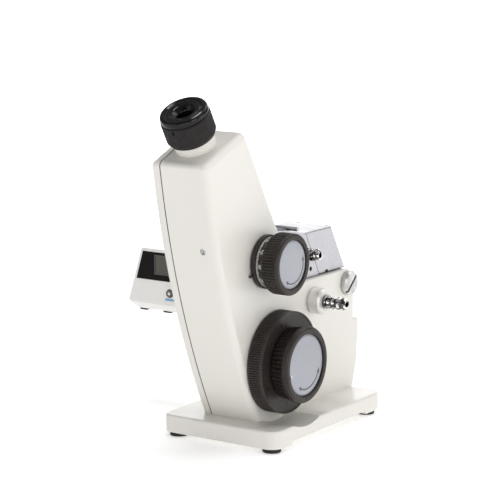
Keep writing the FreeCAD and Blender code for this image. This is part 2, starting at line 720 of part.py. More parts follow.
def gear_pair():
    """Pinion on the handwheel's shaft and the toothed sector that carries scale and mirror."""
    thick = number("gear_thick")
    teeth = int(number("pinion_teeth"))
    mesh = number("mesh_angle")
    pinion = gear_blank(teeth, thick)
    pinion = pinion.cut(Part.makeCylinder(number("pinion_teeth * gear_module / 2") - 1.5, thick))
    pinion.rotate(Vector(0, 0, 0), Vector(0, 0, 1), mesh + 90)
    set_of("drive_pinion", [along_x(pinion, "middle_x - gear_thick + 1", "wheel_y", "wheel_z")])

    count = int(number("sector_teeth"))
    wheel = gear_blank(count, thick)
    reach = number("sector_teeth * gear_module / 2")
    wedge = Part.makeCylinder(reach + 2, thick, Vector(0, 0, 0), Vector(0, 0, 1), 76)
    wedge.rotate(Vector(0, 0, 0), Vector(0, 0, 1), -38)
    half_tooth = 180 / count
    wheel.rotate(Vector(0, 0, 0), Vector(0, 0, 1), half_tooth)
    sector = wheel.common(wedge)
    sector.rotate(Vector(0, 0, 0), Vector(0, 0, 1), mesh + 180 + 90)
    hub = Part.makeCylinder(HUB_ROUND, 13)
    arm = Part.makeBox(1.6, 22, 8, Vector(10.2, 0, -4))
    arm.rotate(Vector(0, 0, 0), Vector(1, 0, 0), SCALE_ANGLE)
    saddle = Part.makeBox(15, 14, 2.5, Vector(-4.5, -7, HUB_ROUND - 1))
    saddle.rotate(Vector(0, 0, 0), Vector(1, 0, 0), MIRROR_ANGLE)
    carrier = along_x(sector.fuse(hub), "0", "0", "0").fuse([arm, saddle])
    bore = Part.makeCylinder(number("pivot_round + running"), 40, Vector(-10, 0, 0), Vector(1, 0, 0))
    set_of("sector_gear", [at_pivot(carrier.cut(bore).removeSplitter())])


HUB_ROUND = 6
SCALE_ANGLE = -8
MIRROR_ANGLE = -10


def at_pivot(shape):
    """Move a shape from the origin to the pivot of the scale arm."""
    shape.translate(Vector(number("middle_x - gear_thick + 1"), number(PIVOT[0]), number(PIVOT[1])))
    return shape


def scale_and_mirror():
    """Glass scale and swinging mirror, both carried by the sector gear."""
    sweep = 32
    glass = Part.makeCylinder(29, 1.5, Vector(11.8, 0, 0), Vector(1, 0, 0), sweep)
    glass = glass.cut(Part.makeCylinder(17, 4, Vector(10, 0, 0), Vector(1, 0, 0))).Solids[0]
    middle = glass.CenterOfMass
    turn_to = math.degrees(Vector(0, 1, 0).getAngle(Vector(0, middle.y, middle.z)))
    side = 1 if middle.z > 0 else -1
    glass.rotate(Vector(0, 0, 0), Vector(1, 0, 0), SCALE_ANGLE - side * turn_to)
    set_of("scale_glass", [at_pivot(glass)])
    mirror = Part.makeBox(16, 18, 1.8, Vector(-5, -9, HUB_ROUND + 1.5))
    mirror.rotate(Vector(0, 0, 0), Vector(1, 0, 0), MIRROR_ANGLE)
    set_of("swing_mirror", [at_pivot(mirror)])
    pin = Part.makeCylinder(number("pivot_round"), 24, Vector(-1.5, 0, 0), Vector(1, 0, 0))
    set_of("scale_pivot_pin", [at_pivot(pin)])


# ---------------------------------------------------------------- prism group

def tilted(out, along):
    """Y and Z of a point out from the prism joint plane and along its slope, from its middle."""
    middle_y = joint_line("prism_mid_z")
    return ("%s + (%s) * cos(lean) - (%s) * sin(lean)" % (middle_y, out, along),
            "prism_mid_z + (%s) * sin(lean) + (%s) * cos(lean)" % (out, along))


def refracting_prism_seat():
    """Fixed seat between the casing's sloping back and the plane where the prisms meet."""
    body = new_body("refracting_prism_seat", "middle_x - group_half")
    made = new_sketch(body, "YZ_Plane")
    foot = "platform_z"
    draw_outline(made, [("crown_y + (crown_z - platform_z) * tan(lean)", foot), ("joint_y", foot),
                        (joint_line("prism_top_z"), "prism_top_z"),
                        ("crown_y + (crown_z - roof_z) * tan(lean)", "roof_z")])
    pad(body, made, "2 * group_half")
    made = new_sketch(body, "YZ_Plane", "group_half - 8")
    draw_outline(made, [tilted("1", "13.6"), tilted("0", "13"), tilted("-11", "-4"), tilted("0", "-13"),
                        tilted("1", "-13.6")])
    pocket(body, made, "16")
    made = new_sketch(body, "YZ_Plane", "group_half - 8")
    draw_outline(made, [roof_point("-12", "3"), roof_point("8", "3"), roof_point("8", "-3"),
                        roof_point("-12", "-3")])
    pocket(body, made, "16")
    beam = cylinder_tool("7", "50", "middle_x", PIVOT[0], PIVOT[1], Vector(1, 0, 0), "-beam")
    spindle = rod("lock_spindle + running", "middle_x - group_half", "6.3", "lock_y", "lock_z")
    adjuster = rod("1.7", "middle_x + group_half - 4", "6", "23.4", "110")
    cut_away("refracting_prism_seat", body, [beam, spindle, adjuster])


def refracting_prism():
    body = new_body("refracting_prism", "middle_x - 8")
    made = new_sketch(body, "YZ_Plane")
    draw_outline(made, [tilted("0", "13"), tilted("-11", "-4"), tilted("0", "-13")])
    pad(body, made, "16")


def roof_point(along, up):
    """Y and Z of a point along the seat's sloping roof and up from it, from the roof's middle."""
    middle_y = "(crown_y + (crown_z - roof_z) * tan(lean) + %s) / 2" % joint_line("prism_top_z")
    middle_z = "(roof_z + prism_top_z) / 2"
    return ("%s + (%s) * cos(roof_slope) + (%s) * sin(roof_slope)" % (middle_y, along, up),
            "%s - (%s) * sin(roof_slope) + (%s) * cos(roof_slope)" % (middle_z, along, up))


def reflector():
    """Hinged flap on the roof of the fixed seat with a mirror under it."""
    body = new_body("reflector_flap", "middle_x - 10")
    made = new_sketch(body, "YZ_Plane")
    draw_outline(made, [roof_point("-16", "0.4"), roof_point("12", "0.4"), roof_point("12", "1.8"),
                        roof_point("-16", "1.8")])
    pad(body, made, "20")
    made = new_sketch(body, "YZ_Plane")
    y, z = roof_point("-16", "1.8")
    draw_circles(made, [(y, z, "1.4")])
    pad(body, made, "20")
    made = new_sketch(body, "YZ_Plane")
    y, z = roof_point("10.5", "2.2")
    draw_circles(made, [(y, z, "1.5")])
    pad(body, made, "28")
    body = new_body("reflector_mirror", "middle_x - 7.5")
    made = new_sketch(body, "YZ_Plane")
    draw_outline(made, [roof_point("-11.5", "0.4"), roof_point("7.5", "0.4"), roof_point("7.5", "-1.4"),
                        roof_point("-11.5", "-1.4")])
    pad(body, made, "15")


def illuminating_prism_box():
    """Opening half of the prism group, hung on the hinge shaft by a knuckle."""
    body = new_body("illuminating_prism_box", "middle_x - group_half")
    low, top = "platform_z + 0.5", "prism_top_z"
    front = " + joint_gap / cos(lean)"
    made = new_sketch(body, "YZ_Plane")
    foot = joint_line("(%s)" % low)
    head = joint_line(top)
    draw_outline(made, [(foot + front, low), (foot + " + box_thick", low), (head + " + box_thick", top),
                        (head + front, top)])
    pad(body, made, "2 * group_half")
    round_edges(body, "1", lambda edge: edge.BoundBox.XLength < 0.01)
    made = new_sketch(body, "YZ_Plane", "group_half - knuckle_half")
    draw_circles(made, [("hinge_y", "hinge_z", "knuckle_round")])
    pad(body, made, "2 * knuckle_half")
    made = new_sketch(body, "YZ_Plane", "group_half - knuckle_half")
    draw_box(made, "hinge_y - 7.5", "hinge_z", "hinge_y + 4.5", "platform_z + 3")
    pad(body, made, "2 * knuckle_half")
    made = new_sketch(body, "YZ_Plane", "2 * group_half - 2")
    draw_box(made, "42.5", "platform_z", "46.5", "platform_z + 2.6")
    pocket(body, made, "2")
    y, z = tilted(SHIELD_HINGE[0], SHIELD_HINGE[1])
    for lift in ("group_half - 13.3", "group_half + 11.3"):
        made = new_sketch(body, "YZ_Plane", lift)
        draw_circles(made, [(y, z, "2.4")])
        pad(body, made, "2")
    made = new_sketch(body, "YZ_Plane")
    draw_circles(made, [("hinge_y", "hinge_z", "hinge_round + running"), (y, z, "0.85")])
    pocket(body, made, "2 * group_half")
    made = new_sketch(body, "YZ_Plane", "group_half - 8")
    draw_outline(made, [tilted("-3", "7"), tilted("-3", "-13"), tilted("11", "-13"), tilted("33", "-28"),
                        tilted("33", "-8"), tilted("11", "7")])
    pocket(body, made, "16")
    made = new_sketch(body, "YZ_Plane", "group_half - 9")
    draw_outline(made, [tilted("-3", "8"), tilted("-3", "-14"), tilted("12", "-14"), tilted("12", "8")])
    pocket(body, made, "18")


SHIELD_HINGE = ("box_thick * cos(lean) + 1.7", "-2.4")


def illuminating_prism():
    body = new_body("illuminating_prism", "middle_x - 9")
    made = new_sketch(body, "YZ_Plane")
    near = "joint_gap + 0.2"
    draw_outline(made, [tilted(near, "8"), tilted(near, "-14"), tilted("12", "-14"), tilted("12", "8")])
    pad(body, made, "18")


def light_shield():
    """Flap that closes the light window in the back of the opening half."""
    body = new_body("light_shield", "middle_x - 11")
    made = new_sketch(body, "YZ_Plane")
    near, far = "box_thick * cos(lean) + 0.3", "box_thick * cos(lean) + 1.9"
    top = SHIELD_HINGE[1]
    draw_outline(made, [tilted(near, "-30"), tilted(far, "-30"), tilted(far, top), tilted(near, top)])
    pad(body, made, "22")
    y, z = tilted(SHIELD_HINGE[0], SHIELD_HINGE[1])
    made = new_sketch(body, "YZ_Plane")
    draw_circles(made, [(y, z, "1.4")])
    pad(body, made, "22")
    made = new_sketch(body, "YZ_Plane", "-2.2")
    draw_circles(made, [(y, z, "0.8")])
    pad(body, made, "26.4")


def hinge_shaft():
    """Shaft of the opening half, with a slotted head on the right of the casing."""
    head = number("hinge_head_thick")
    round_ = number("hinge_head")
    start = Vector(number(RIGHT), number("hinge_y"), number("hinge_z"))
    disc = Part.makeCylinder(round_, head - 1.2, start, Vector(1, 0, 0))
    edge = Part.makeCone(round_, round_ - 1.2, 1.2, start + Vector(head - 1.2, 0, 0), Vector(1, 0, 0))
    disc = disc.fuse(edge)
    slot = Part.makeBox(3, 2.2, 3 * round_, start + Vector(head - 2, -1.1, -1.5 * round_))
    slot.rotate(start, Vector(1, 0, 0), 42)
    reach = 34
    shaft = Part.makeCylinder(number("hinge_round"), reach, start - Vector(reach, 0, 0), Vector(1, 0, 0))
    set_of("hinge_shaft", [disc.cut(slot).fuse(shaft).removeSplitter()])


# ---------------------------------------------------------------- water connectors

def lathe_x(corners, x, y, z, way=1):
    """A solid turned about a line along X; corners are (along, radius), way is +1 or -1."""
    points = [Vector(way * along, 0, radius) for along, radius in corners]
    face = Part.Face(Part.makePolygon(points + points[:1]))
    made = face.revolve(Vector(0, 0, 0), Vector(1, 0, 0), 360)
    made.translate(Vector(x, y, z))
    return made


def nozzle(x, y, z, way):
    """Hose nozzle with four barbs and a through bore."""
    bore, crest, long = number("barb_bore"), number("barb_round"), number("barb_long")
    count, collar = 4, 2.5
    pitch = (long - collar) / count
    corners = [(0, bore), (0, crest), (collar, crest)]
    for index in range(count):
        near = collar + index * pitch
        corners += [(near, crest - 1.2), (near + 0.7, crest), (near + 1.3, crest)]
    corners += [(long, crest - 1.6), (long, bore)]
    return lathe_x(corners, x, y, z, way)


def water_connectors():
    right, left = number(RIGHT), number("seam_x - cover_wide")
    boss, bore, wide, neck = (number(n) for n in ("boss_long", "barb_bore", "boss_round", "barb_round"))
    y, z = number("low_hose_y"), number("low_hose_z")
    corners = [(-2.5, bore), (boss, bore), (boss, wide - 1.2), (boss - 1.2, wide), (0, wide), (0, neck),
               (-2.5, neck)]
    sides = ((right, 1), (left, -1))
    set_of("hose_bosses", [lathe_x(corners, x, y, z, way) for x, way in sides])
    fixed = [nozzle(x + way * boss, y, z, way) for x, way in sides]
    x = number("middle_x + group_half")
    fixed.append(nozzle(x, number("high_hose_y"), number("high_hose_z"), 1))
    set_of("hose_nozzles", fixed)
    x = number("middle_x - group_half")
    places = [tilted("22", "-8"), tilted("18", "-22")]
    set_of("box_hose_nozzles", [nozzle(x, number(a), number(b), -1) for a, b in places])


# ---------------------------------------------------------------- prism lock

def prism_lock():
    """Knob with a hook that swings over a pin on the opening half."""
    x = number("middle_x - group_half")
    y, z, spindle = (number(name) for name in ("lock_y", "lock_z", "lock_spindle"))
    gap, thick, reach = 0.5, 1.4, number("lock_reach")
    near = gap + thick
    set_of("lock_knob", [lathe_x([(-6, 0), (11, 0), (11, 6), (10, 7), (4, 7), (3, 5), (near, 5),
                                  (near, spindle), (-6, spindle)], x, y, z, -1)])
    along = Vector(1, 0, 0)
    arm = Part.makeBox(thick, reach + 4.6, 10, Vector(0, 0, -5))
    arm = arm.fuse(Part.makeCylinder(5.5, thick, Vector(0, 0, 0), along))
    groove = Part.makeCylinder(reach + 2, thick, Vector(0, 0, 0), along)
    groove = groove.cut(Part.makeCylinder(reach - 2, thick, Vector(0, 0, 0), along))
    groove = groove.common(Part.makeBox(thick, 40, 40, Vector(0, 0, -37.8)))
    arm = arm.cut(groove).cut(Part.makeCylinder(spindle, thick, Vector(0, 0, 0), along))
    arm.rotate(Vector(0, 0, 0), along, number("lock_angle + lock_open"))
    arm.translate(Vector(x - near, y, z))
    set_of("lock_hook", [arm])
    pin_y = number("lock_y + lock_reach * cos(lock_angle)")
    pin_z = number("lock_z + lock_reach * sin(lock_angle)")
    set_of("lock_pin", [Part.makeCylinder(1.5, 2.6, Vector(x, pin_y, pin_z), Vector(-1, 0, 0))])


# ---------------------------------------------------------------- digital thermometer

def meter_outline(made, wall="0", floor="0"):
    """Front view of the thermometer, wide foot and narrow top, set in by a wall and a floor."""
    low = "(meter_low_half - 1.1 * %s)" % wall
    top = "(meter_top_half - 1.1 * %s)" % wall
    draw_outline(made, [("-" + low, floor), (low, floor), (top, "meter_tall - " + wall),
                        ("-" + top, "meter_tall - " + wall)])


def meter_shell(label, y, deep, closed_y, hollow_from, hollow_deep, bevel=None):
    """One half of the thermometer housing, open towards the other half."""
    body = new_body(label, "meter_x", y, "meter_low")
    made = new_sketch(body, "XZ_Plane")
    meter_outline(made)
    pad(body, made, deep, True)
    if bevel:
        made = new_sketch(body, "YZ_Plane", "-meter_low_half - 1")
        draw_outline(made, [("-1", "-1"), (bevel + " + 1", "-1"), ("-1", bevel + " + 1")])
        pocket(body, made, "2 * meter_low_half + 2")
    round_edges(body, "1.8", lambda edge: flat_at(edge, "Y", closed_y))
    open_y = number(deep) - closed_y
    bevel_edges(body, "seam_groove", lambda edge: flat_at(edge, "Y", open_y))
    made = new_sketch(body, "XZ_Plane", "-" + hollow_from)
    meter_outline(made, "meter_wall", "meter_bevel + 0.5" if bevel else "meter_wall")
    pocket(body, made, hollow_deep, False)
    return body


WINDOW = [("-15.6", "23.5"), ("16.4", "23.5"), ("10.9", "44"), ("-9.6", "44")]
DISPLAY = [("1.2", "28.5"), ("13", "28.5"), ("10", "41.5"), ("1.2", "41.5")]


def thermometer():
    body = meter_shell("thermometer_case", "meter_front", "meter_shell", 0, "meter_wall", "meter_shell",
                       "meter_bevel")
    made = new_sketch(body, "XZ_Plane")
    draw_outline(made, WINDOW)
    pocket(body, made, "1", False)
    made = new_sketch(body, "XZ_Plane")
    draw_circles(made, [("button_x", "button_z", "button_round + 0.1")])
    pocket(body, made, "meter_wall + 1", False)
    body = meter_shell("thermometer_back", "meter_front + meter_shell", "meter_back", number("meter_back"),
                       "0", "meter_back - meter_wall")
    made = new_sketch(body, "YZ_Plane")
    draw_circles(made, [("stem_y - meter_front - meter_shell", "stem_z - meter_low", "stem_round")])
    pocket(body, made, "30")
    body = new_body("thermometer_window", "meter_x", "meter_front", "meter_low")
    made = new_sketch(body, "XZ_Plane")
    draw_outline(made, WINDOW)
    pad(body, made, "1", True)
    made = new_sketch(body, "XZ_Plane")
    draw_outline(made, DISPLAY)
    pocket(body, made, "2", False)
    body = new_body("thermometer_display", "meter_x", "meter_front + 0.3", "meter_low")
    made = new_sketch(body, "XZ_Plane")
    draw_outline(made, DISPLAY)
    pad(body, made, "0.7", True)
    cap = Part.makeCylinder(number("button_round"), 3.2, Vector(number("meter_x + button_x"),
                            number("meter_front - 1.2"), number("meter_low + button_z")), Vector(0, 1, 0))
    set_of("thermometer_button", [cap])
    under = Vector(number("meter_x"), number("meter_front + 3"), number("meter_low") - 1.4)
    pads = [Part.makeBox(7, 5, 1.4, under + Vector(x, 0, 0)) for x in (-15, 8)]
    set_of("thermometer_feet", pads)
    seat = number("middle_x - group_half")
    start = number("meter_x") + 6
    stem = lathe_x([(0, 0), (seat - 9 - start, 0), (seat - 9 - start, 4), (0, 4)], start, number("stem_y"),
                   number("stem_z"))
    set_of("thermometer_stem", [stem])
    nut = lathe_x([(0, 0), (9, 0), (9, 5.5), (8, 6.2), (1, 6.2), (0, 5.5)], seat - 9, number("stem_y"),
                  number("stem_z"))
    set_of("thermometer_nut", [nut])


# ---------------------------------------------------------------- build and write

def build():
    for make in (base_plate, rubber_feet, foot_screws, casing_bolts, main_casing, left_cover, cover_screws,
                 rear_cover, calibration_screw, condenser_lens, eyepiece_collar, telescope_tube,
                 diopter_ring, eyecup, eyepiece_cell, lenses, compensator_housing, dispersion_shaft,
                 dispersion_knob, shaft_bushes, handwheel, gear_pair, scale_and_mirror, refracting_prism_seat,
                 refracting_prism, reflector, illuminating_prism_box, illuminating_prism, light_shield,
                 hinge_shaft, water_connectors, prism_lock, thermometer):
        make()
    amici_cell("upper_amici", False)
    amici_cell("lower_amici", True)
    doc.recompute()


def check():
    """Every object recomputed, every piece a valid shape."""
    for thing in doc.Objects:
        if "Invalid" in thing.State or "Error" in thing.State:
            raise RuntimeError("%s did not recompute: %s" % (thing.Label, thing.State))
    for label, piece in parts.items():
        if piece.Shape.isNull() or not piece.Shape.isValid():
            raise RuntimeError("%s has no valid shape" % label)


def write():
    os.makedirs("parts", exist_ok=True)
    for label, piece in parts.items():
        piece.Shape.exportStep("parts/%s.step" % label)
    print("%d parts written" % len(parts))


build()
check()
write()
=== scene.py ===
import json
import math

import bmesh
import bpy
from mathutils import Matrix, Vector


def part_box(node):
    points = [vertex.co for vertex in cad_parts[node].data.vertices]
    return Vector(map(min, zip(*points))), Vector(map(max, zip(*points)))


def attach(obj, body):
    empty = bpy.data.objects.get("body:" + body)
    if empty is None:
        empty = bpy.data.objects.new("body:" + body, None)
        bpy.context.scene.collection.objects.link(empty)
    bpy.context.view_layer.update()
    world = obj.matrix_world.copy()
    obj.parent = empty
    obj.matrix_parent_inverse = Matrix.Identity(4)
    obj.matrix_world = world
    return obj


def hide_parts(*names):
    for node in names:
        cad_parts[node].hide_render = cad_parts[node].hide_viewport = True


# The looks of a bench Abbe refractometer.  Lengths are in millimetres and become metres through MM.
# Knob pieces are placed from their joint's axis: heights run outwards from the casing's right face,
# angles from +Y towards +Z.  Eyepiece pieces are placed from the telescope axis: heights run up from
# the casing's sloping top face, angles from +X.

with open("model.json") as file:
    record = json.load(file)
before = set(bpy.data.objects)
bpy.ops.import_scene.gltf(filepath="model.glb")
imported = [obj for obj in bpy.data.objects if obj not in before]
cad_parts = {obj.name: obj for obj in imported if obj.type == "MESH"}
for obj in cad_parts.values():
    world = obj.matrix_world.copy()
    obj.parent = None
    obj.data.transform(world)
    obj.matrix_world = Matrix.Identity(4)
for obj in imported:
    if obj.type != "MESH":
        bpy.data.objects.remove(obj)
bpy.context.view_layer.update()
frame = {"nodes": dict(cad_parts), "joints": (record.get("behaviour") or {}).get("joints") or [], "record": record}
nodes = frame["nodes"]
joints = {joint["name"]: joint for joint in frame["joints"]}
MM = 0.001


# ---------------------------------------------------------------- camera, light and floor

def look_from_the_front_right():
    """The camera stands to the front right of the base plate's middle, a little above the eyepiece."""
    data = bpy.data.cameras.new("camera")
    data.lens = 144.2
    data.sensor_width = 36
    made = bpy.data.objects.new("camera", data)
    made.location = (0.7539, -1.1468, 0.3714)
    made.rotation_euler = (math.radians(79.84), 0, math.radians(34.06))
    bpy.context.scene.collection.objects.link(made)
    bpy.context.scene.camera = made


def soft_light(name, azimuth, elevation, distance, wide, tall, watts):
    """A rectangular softbox aimed at the instrument; azimuth runs from the front towards the right."""
    data = bpy.data.lights.new(name, "AREA")
    data.shape = "RECTANGLE"
    data.size, data.size_y = wide, tall
    data.energy = watts
    around, up = math.radians(azimuth), math.radians(elevation)
    aim = Vector((0, 0, 0.12))
    away = Vector((math.sin(around) * math.cos(up), -math.cos(around) * math.cos(up), math.sin(up)))
    made = bpy.data.objects.new(name, data)
    made.location = aim + away * distance
    made.rotation_euler = away.to_track_quat("Z", "Y").to_euler()
    bpy.context.scene.collection.objects.link(made)


def studio():
    """A white surround that is brighter round the sides than above, and white to the camera."""
    world = bpy.data.worlds.new("studio")
    world.use_nodes = True
    bpy.context.scene.world = world
    tree = world.node_tree
    tree.nodes.clear()
    place = tree.nodes.new("ShaderNodeTexCoord")
    parts = tree.nodes.new("ShaderNodeSeparateXYZ")
    tree.links.new(place.outputs["Generated"], parts.inputs[0])
    ramp = tree.nodes.new("ShaderNodeValToRGB")
    stops = ((0.0, 0.62), (0.16, 0.60), (0.30, 0.16), (0.48, 0.20), (0.66, 0.58), (1.0, 0.62))
    while len(ramp.color_ramp.elements) < len(stops):
        ramp.color_ramp.elements.new(0.5)
    for element, (height, grey) in zip(ramp.color_ramp.elements, stops):
        element.position = height
        element.color = (grey, grey, grey * 1.01, 1)
    tree.links.new(parts.outputs["Z"], ramp.inputs[0])
    around = tree.nodes.new("ShaderNodeBackground")
    around.inputs["Strength"].default_value = 0.54
    tree.links.new(ramp.outputs[0], around.inputs["Color"])
    seen = tree.nodes.new("ShaderNodeBackground")
    seen.inputs["Color"].default_value = (1, 1, 1, 1)
    path = tree.nodes.new("ShaderNodeLightPath")
    mix = tree.nodes.new("ShaderNodeMixShader")
    tree.links.new(path.outputs["Is Camera Ray"], mix.inputs[0])
    tree.links.new(around.outputs[0], mix.inputs[1])
    tree.links.new(seen.outputs[0], mix.inputs[2])
    out = tree.nodes.new("ShaderNodeOutputWorld")
    tree.links.new(mix.outputs[0], out.inputs[0])
    bpy.context.scene.view_settings.view_transform = "Standard"


def softboxes():
    """Softboxes all round; the small ones give the edges their highlights."""
    soft_light("key", azimuth=62, elevation=15, distance=1.9, wide=0.8, tall=0.8, watts=5.3)
    soft_light("fill", azimuth=-35, elevation=14, distance=2.0, wide=1.4, tall=1.2, watts=3.2)
    soft_light("front", azimuth=20, elevation=4, distance=1.8, wide=1.2, tall=0.5, watts=2.8)
    soft_light("side", azimuth=105, elevation=12, distance=1.9, wide=1.2, tall=1.0, watts=5.8)
    soft_light("above", azimuth=0, elevation=86, distance=1.6, wide=0.5, tall=0.5, watts=7.0)
    soft_light("behind", azimuth=150, elevation=50, distance=1.8, wide=1.2, tall=1.2, watts=8.0)
    soft_light("backdrop", azimuth=214, elevation=13, distance=2.5, wide=3.2, tall=1.0, watts=22.0)


def floor():
    """Pale paper that glows more with distance, so that it runs into the white behind."""
    mesh = bpy.data.meshes.new("floor")
    half = 60.0
    corners = [(-half, -half, 0), (half, -half, 0), (half, half, 0), (-half, half, 0)]
    mesh.from_pydata(corners, [], [(0, 1, 2, 3)])
    made = bpy.data.objects.new("floor", mesh)
    bpy.context.scene.collection.objects.link(made)
    look = Look("floor_paper", (0.93, 0.93, 0.93), 0.75)
    look.grain(60, 0.02)
    look.shader.inputs["Emission Color"].default_value = (1, 1, 1, 1)
    distance = look.tree.nodes.new("ShaderNodeVectorMath")
    distance.operation = "LENGTH"
    look.link(look.place.outputs["Object"], distance.inputs[0])
    glow = look.add("ShaderNodeMapRange", From_Min=0.3, From_Max=1.6, To_Min=0.37, To_Max=0.95)
    look.link(distance.outputs["Value"], glow.inputs["Value"])
    look.link(glow.outputs["Result"], look.shader.inputs["Emission Strength"])
    mesh.materials.append(look.made)


# ---------------------------------------------------------------- materials

class Look:
    """A Principled material whose colour, roughness and relief vary with noise over the piece."""

    def __init__(self, name, colour, rough, metal=0.0):
        self.made = bpy.data.materials.new(name)
        self.made.use_nodes = True
        self.tree = self.made.node_tree
        self.shader = self.tree.nodes["Principled BSDF"]
        self.colour = colour
        self.shader.inputs["Base Color"].default_value = (*colour, 1)
        self.shader.inputs["Roughness"].default_value = rough
        self.shader.inputs["Metallic"].default_value = metal
        self.place = self.tree.nodes.new("ShaderNodeTexCoord")
        self.relief = None
        self.tone = None

    def add(self, kind, **values):
        node = self.tree.nodes.new(kind)
        for name, value in values.items():
            node.inputs[name.replace("_", " ")].default_value = value
        return node

    def link(self, source, target):
        self.tree.links.new(source, target)

    def noise(self, scale, detail=3.0, stretch=(1, 1, 1)):
        """Noise over the piece; scale is in waves per metre, stretch lengthens it along an axis."""
        mapping = self.add("ShaderNodeMapping")
        mapping.inputs["Scale"].default_value = stretch
        self.link(self.place.outputs["Object"], mapping.inputs["Vector"])
        made = self.add("ShaderNodeTexNoise", Scale=scale, Detail=detail)
        self.link(mapping.outputs[0], made.inputs["Vector"])
        return made.outputs["Fac"]

    def spread(self, source, low, high, soft=0.18):
        """Noise made to run from low to high, over a soft share on both sides of its middle."""
        made = self.add("ShaderNodeMapRange", From_Min=0.5 - soft, From_Max=0.5 + soft,
                        To_Min=low, To_Max=high)
        self.link(source, made.inputs["Value"])
        return made.outputs["Result"]

    def blend(self, share, first, second):
        """One colour or link over another, by a share."""
        made = self.tree.nodes.new("ShaderNodeMix")
        made.data_type = "RGBA"
        self.link(share, made.inputs["Factor"])
        for socket, value in ((made.inputs[6], first), (made.inputs[7], second)):
            if isinstance(value, tuple):
                socket.default_value = (*value, 1)
            else:
                self.link(value, socket)
        self.link(made.outputs[2], self.shader.inputs["Base Color"])
        self.tone = made.outputs[2]
        return made.outputs[2]

    def mottle(self, scale, darker, stretch=(1, 1, 1)):
        """Slow colour variation down to a darker share of the colour."""
        share = self.spread(self.noise(scale, 4.0, stretch), 0, 1)
        dark = tuple(channel * darker for channel in self.colour)
        self.blend(share, dark, self.tone or self.colour)

    def edge_wear_and_highlight(self, edge_colour, radius, amount):
        """Rubbed edges, and on some looks painted highlights: the colour shifts where the surface turns within a
        radius in millimetres.
        """
        bevel = self.tree.nodes.new("ShaderNodeBevel")
        bevel.samples = 4
        bevel.inputs["Radius"].default_value = radius * MM
        flat = self.tree.nodes.new("ShaderNodeNewGeometry")
        dot = self.tree.nodes.new("ShaderNodeVectorMath")
        dot.operation = "DOT_PRODUCT"
        self.link(bevel.outputs[0], dot.inputs[0])
        self.link(flat.outputs["Normal"], dot.inputs[1])
        mask = self.add("ShaderNodeMapRange", From_Min=0.985, From_Max=0.80, To_Min=0.0, To_Max=amount)
        self.link(dot.outputs["Value"], mask.inputs["Value"])
        patchy = self.tree.nodes.new("ShaderNodeMath")
        patchy.operation = "MULTIPLY"
        self.link(mask.outputs[0], patchy.inputs[0])
        self.link(self.spread(self.noise(220), 0.2, 1.0), patchy.inputs[1])
        self.blend(patchy.outputs[0], self.tone or self.colour, edge_colour)

    def painted_recess_shade(self, dark, reach):
        """Painted shade: darker in narrow recesses, within a reach in millimetres."""
        hollow = self.tree.nodes.new("ShaderNodeAmbientOcclusion")
        hollow.samples = 6
        hollow.inputs["Distance"].default_value = reach * MM
        open_share = self.add("ShaderNodeMapRange", From_Min=0.5, From_Max=0.93, To_Min=0.0, To_Max=1.0)
        self.link(hollow.outputs["AO"], open_share.inputs["Value"])
        self.blend(open_share.outputs[0], dark, self.tone or self.colour)

    def gloss(self, low, high, scale, stretch=(1, 1, 1)):
        """Roughness that varies between two values."""
        source = self.spread(self.noise(scale, 4.0, stretch), low, high)
        self.link(source, self.shader.inputs["Roughness"])

    def grain(self, scale, height, stretch=(1, 1, 1), detail=3.0):
        """Relief of a height in millimetres; each call lies over the last."""
        bump = self.add("ShaderNodeBump", Strength=1.0, Distance=height * MM)
        self.link(self.noise(scale, detail, stretch), bump.inputs["Height"])
        if self.relief:
            self.link(self.relief, bump.inputs["Normal"])
        self.relief = bump.outputs[0]
        self.link(self.relief, self.shader.inputs["Normal"])


def enamel():
    """Warm off-white stove enamel: semi-gloss with a fine orange peel."""
    look = Look("enamel", (0.80, 0.775, 0.725), 0.34)
    look.mottle(9, 0.972)
    look.edge_wear_and_highlight((0.88, 0.87, 0.84), 0.8, 0.35)
    look.gloss(0.30, 0.42, 26)
    look.grain(420, 0.035)
    look.grain(1600, 0.010)
    look.shader.inputs["Coat Weight"].default_value = 0.15
    look.shader.inputs["Coat Roughness"].default_value = 0.22
    return look.made


def rubber():
    look = Look("rubber", (0.018, 0.018, 0.019), 0.75)
    look.mottle(140, 0.6)
    look.edge_wear_and_highlight((0.10, 0.10, 0.10), 0.4, 0.6)
    look.gloss(0.62, 0.86, 300)
    look.grain(1500, 0.04)
    return look.made


def knob_plastic():
    """Brown-black moulded phenolic, a little rubbed on its edges, which are lightened further as painted
    highlights; painted shade darkens its recesses.
    """
    look = Look("knob_plastic", (0.034, 0.027, 0.024), 0.36)
    look.shader.inputs["Specular IOR Level"].default_value = 0.25
    look.mottle(70, 0.72)
    # Painted shade in the valleys between the ribs and in other recesses.
    look.painted_recess_shade((0.006, 0.005, 0.0045), 1.6)
    # Rubbed edges, lightened further as painted highlights on the lips and rib crests.
    look.edge_wear_and_highlight((0.26, 0.235, 0.22), 0.3, 0.85)
    look.gloss(0.24, 0.42, 150)
    look.grain(1300, 0.010)
    return look.made


def eyecup_plastic():
    """Glossier black than the knobs, with faint handling marks and painted highlights lightening its rims."""
    look = Look("eyecup_plastic", (0.005, 0.0045, 0.005), 0.12)
    look.shader.inputs["Specular IOR Level"].default_value = 0.3
    look.mottle(60, 0.75)
    # Painted highlight: the rounded rims are lightened where the lamps would glint.
    look.edge_wear_and_highlight((0.22, 0.22, 0.22), 0.8, 0.8)
    look.gloss(0.06, 0.15, 130)
    look.grain(500, 0.003)
    return look.made


def anodised_disc():
    """Cool grey satin plate, rubbed bright at its edge."""
    look = Look("anodised_disc", (0.40, 0.41, 0.45), 0.38, 0.25)
    look.mottle(40, 0.93)
    look.edge_wear_and_highlight((0.75, 0.76, 0.80), 0.5, 0.9)
    look.gloss(0.32, 0.46, 800)
    look.grain(2600, 0.006)
    return look.made


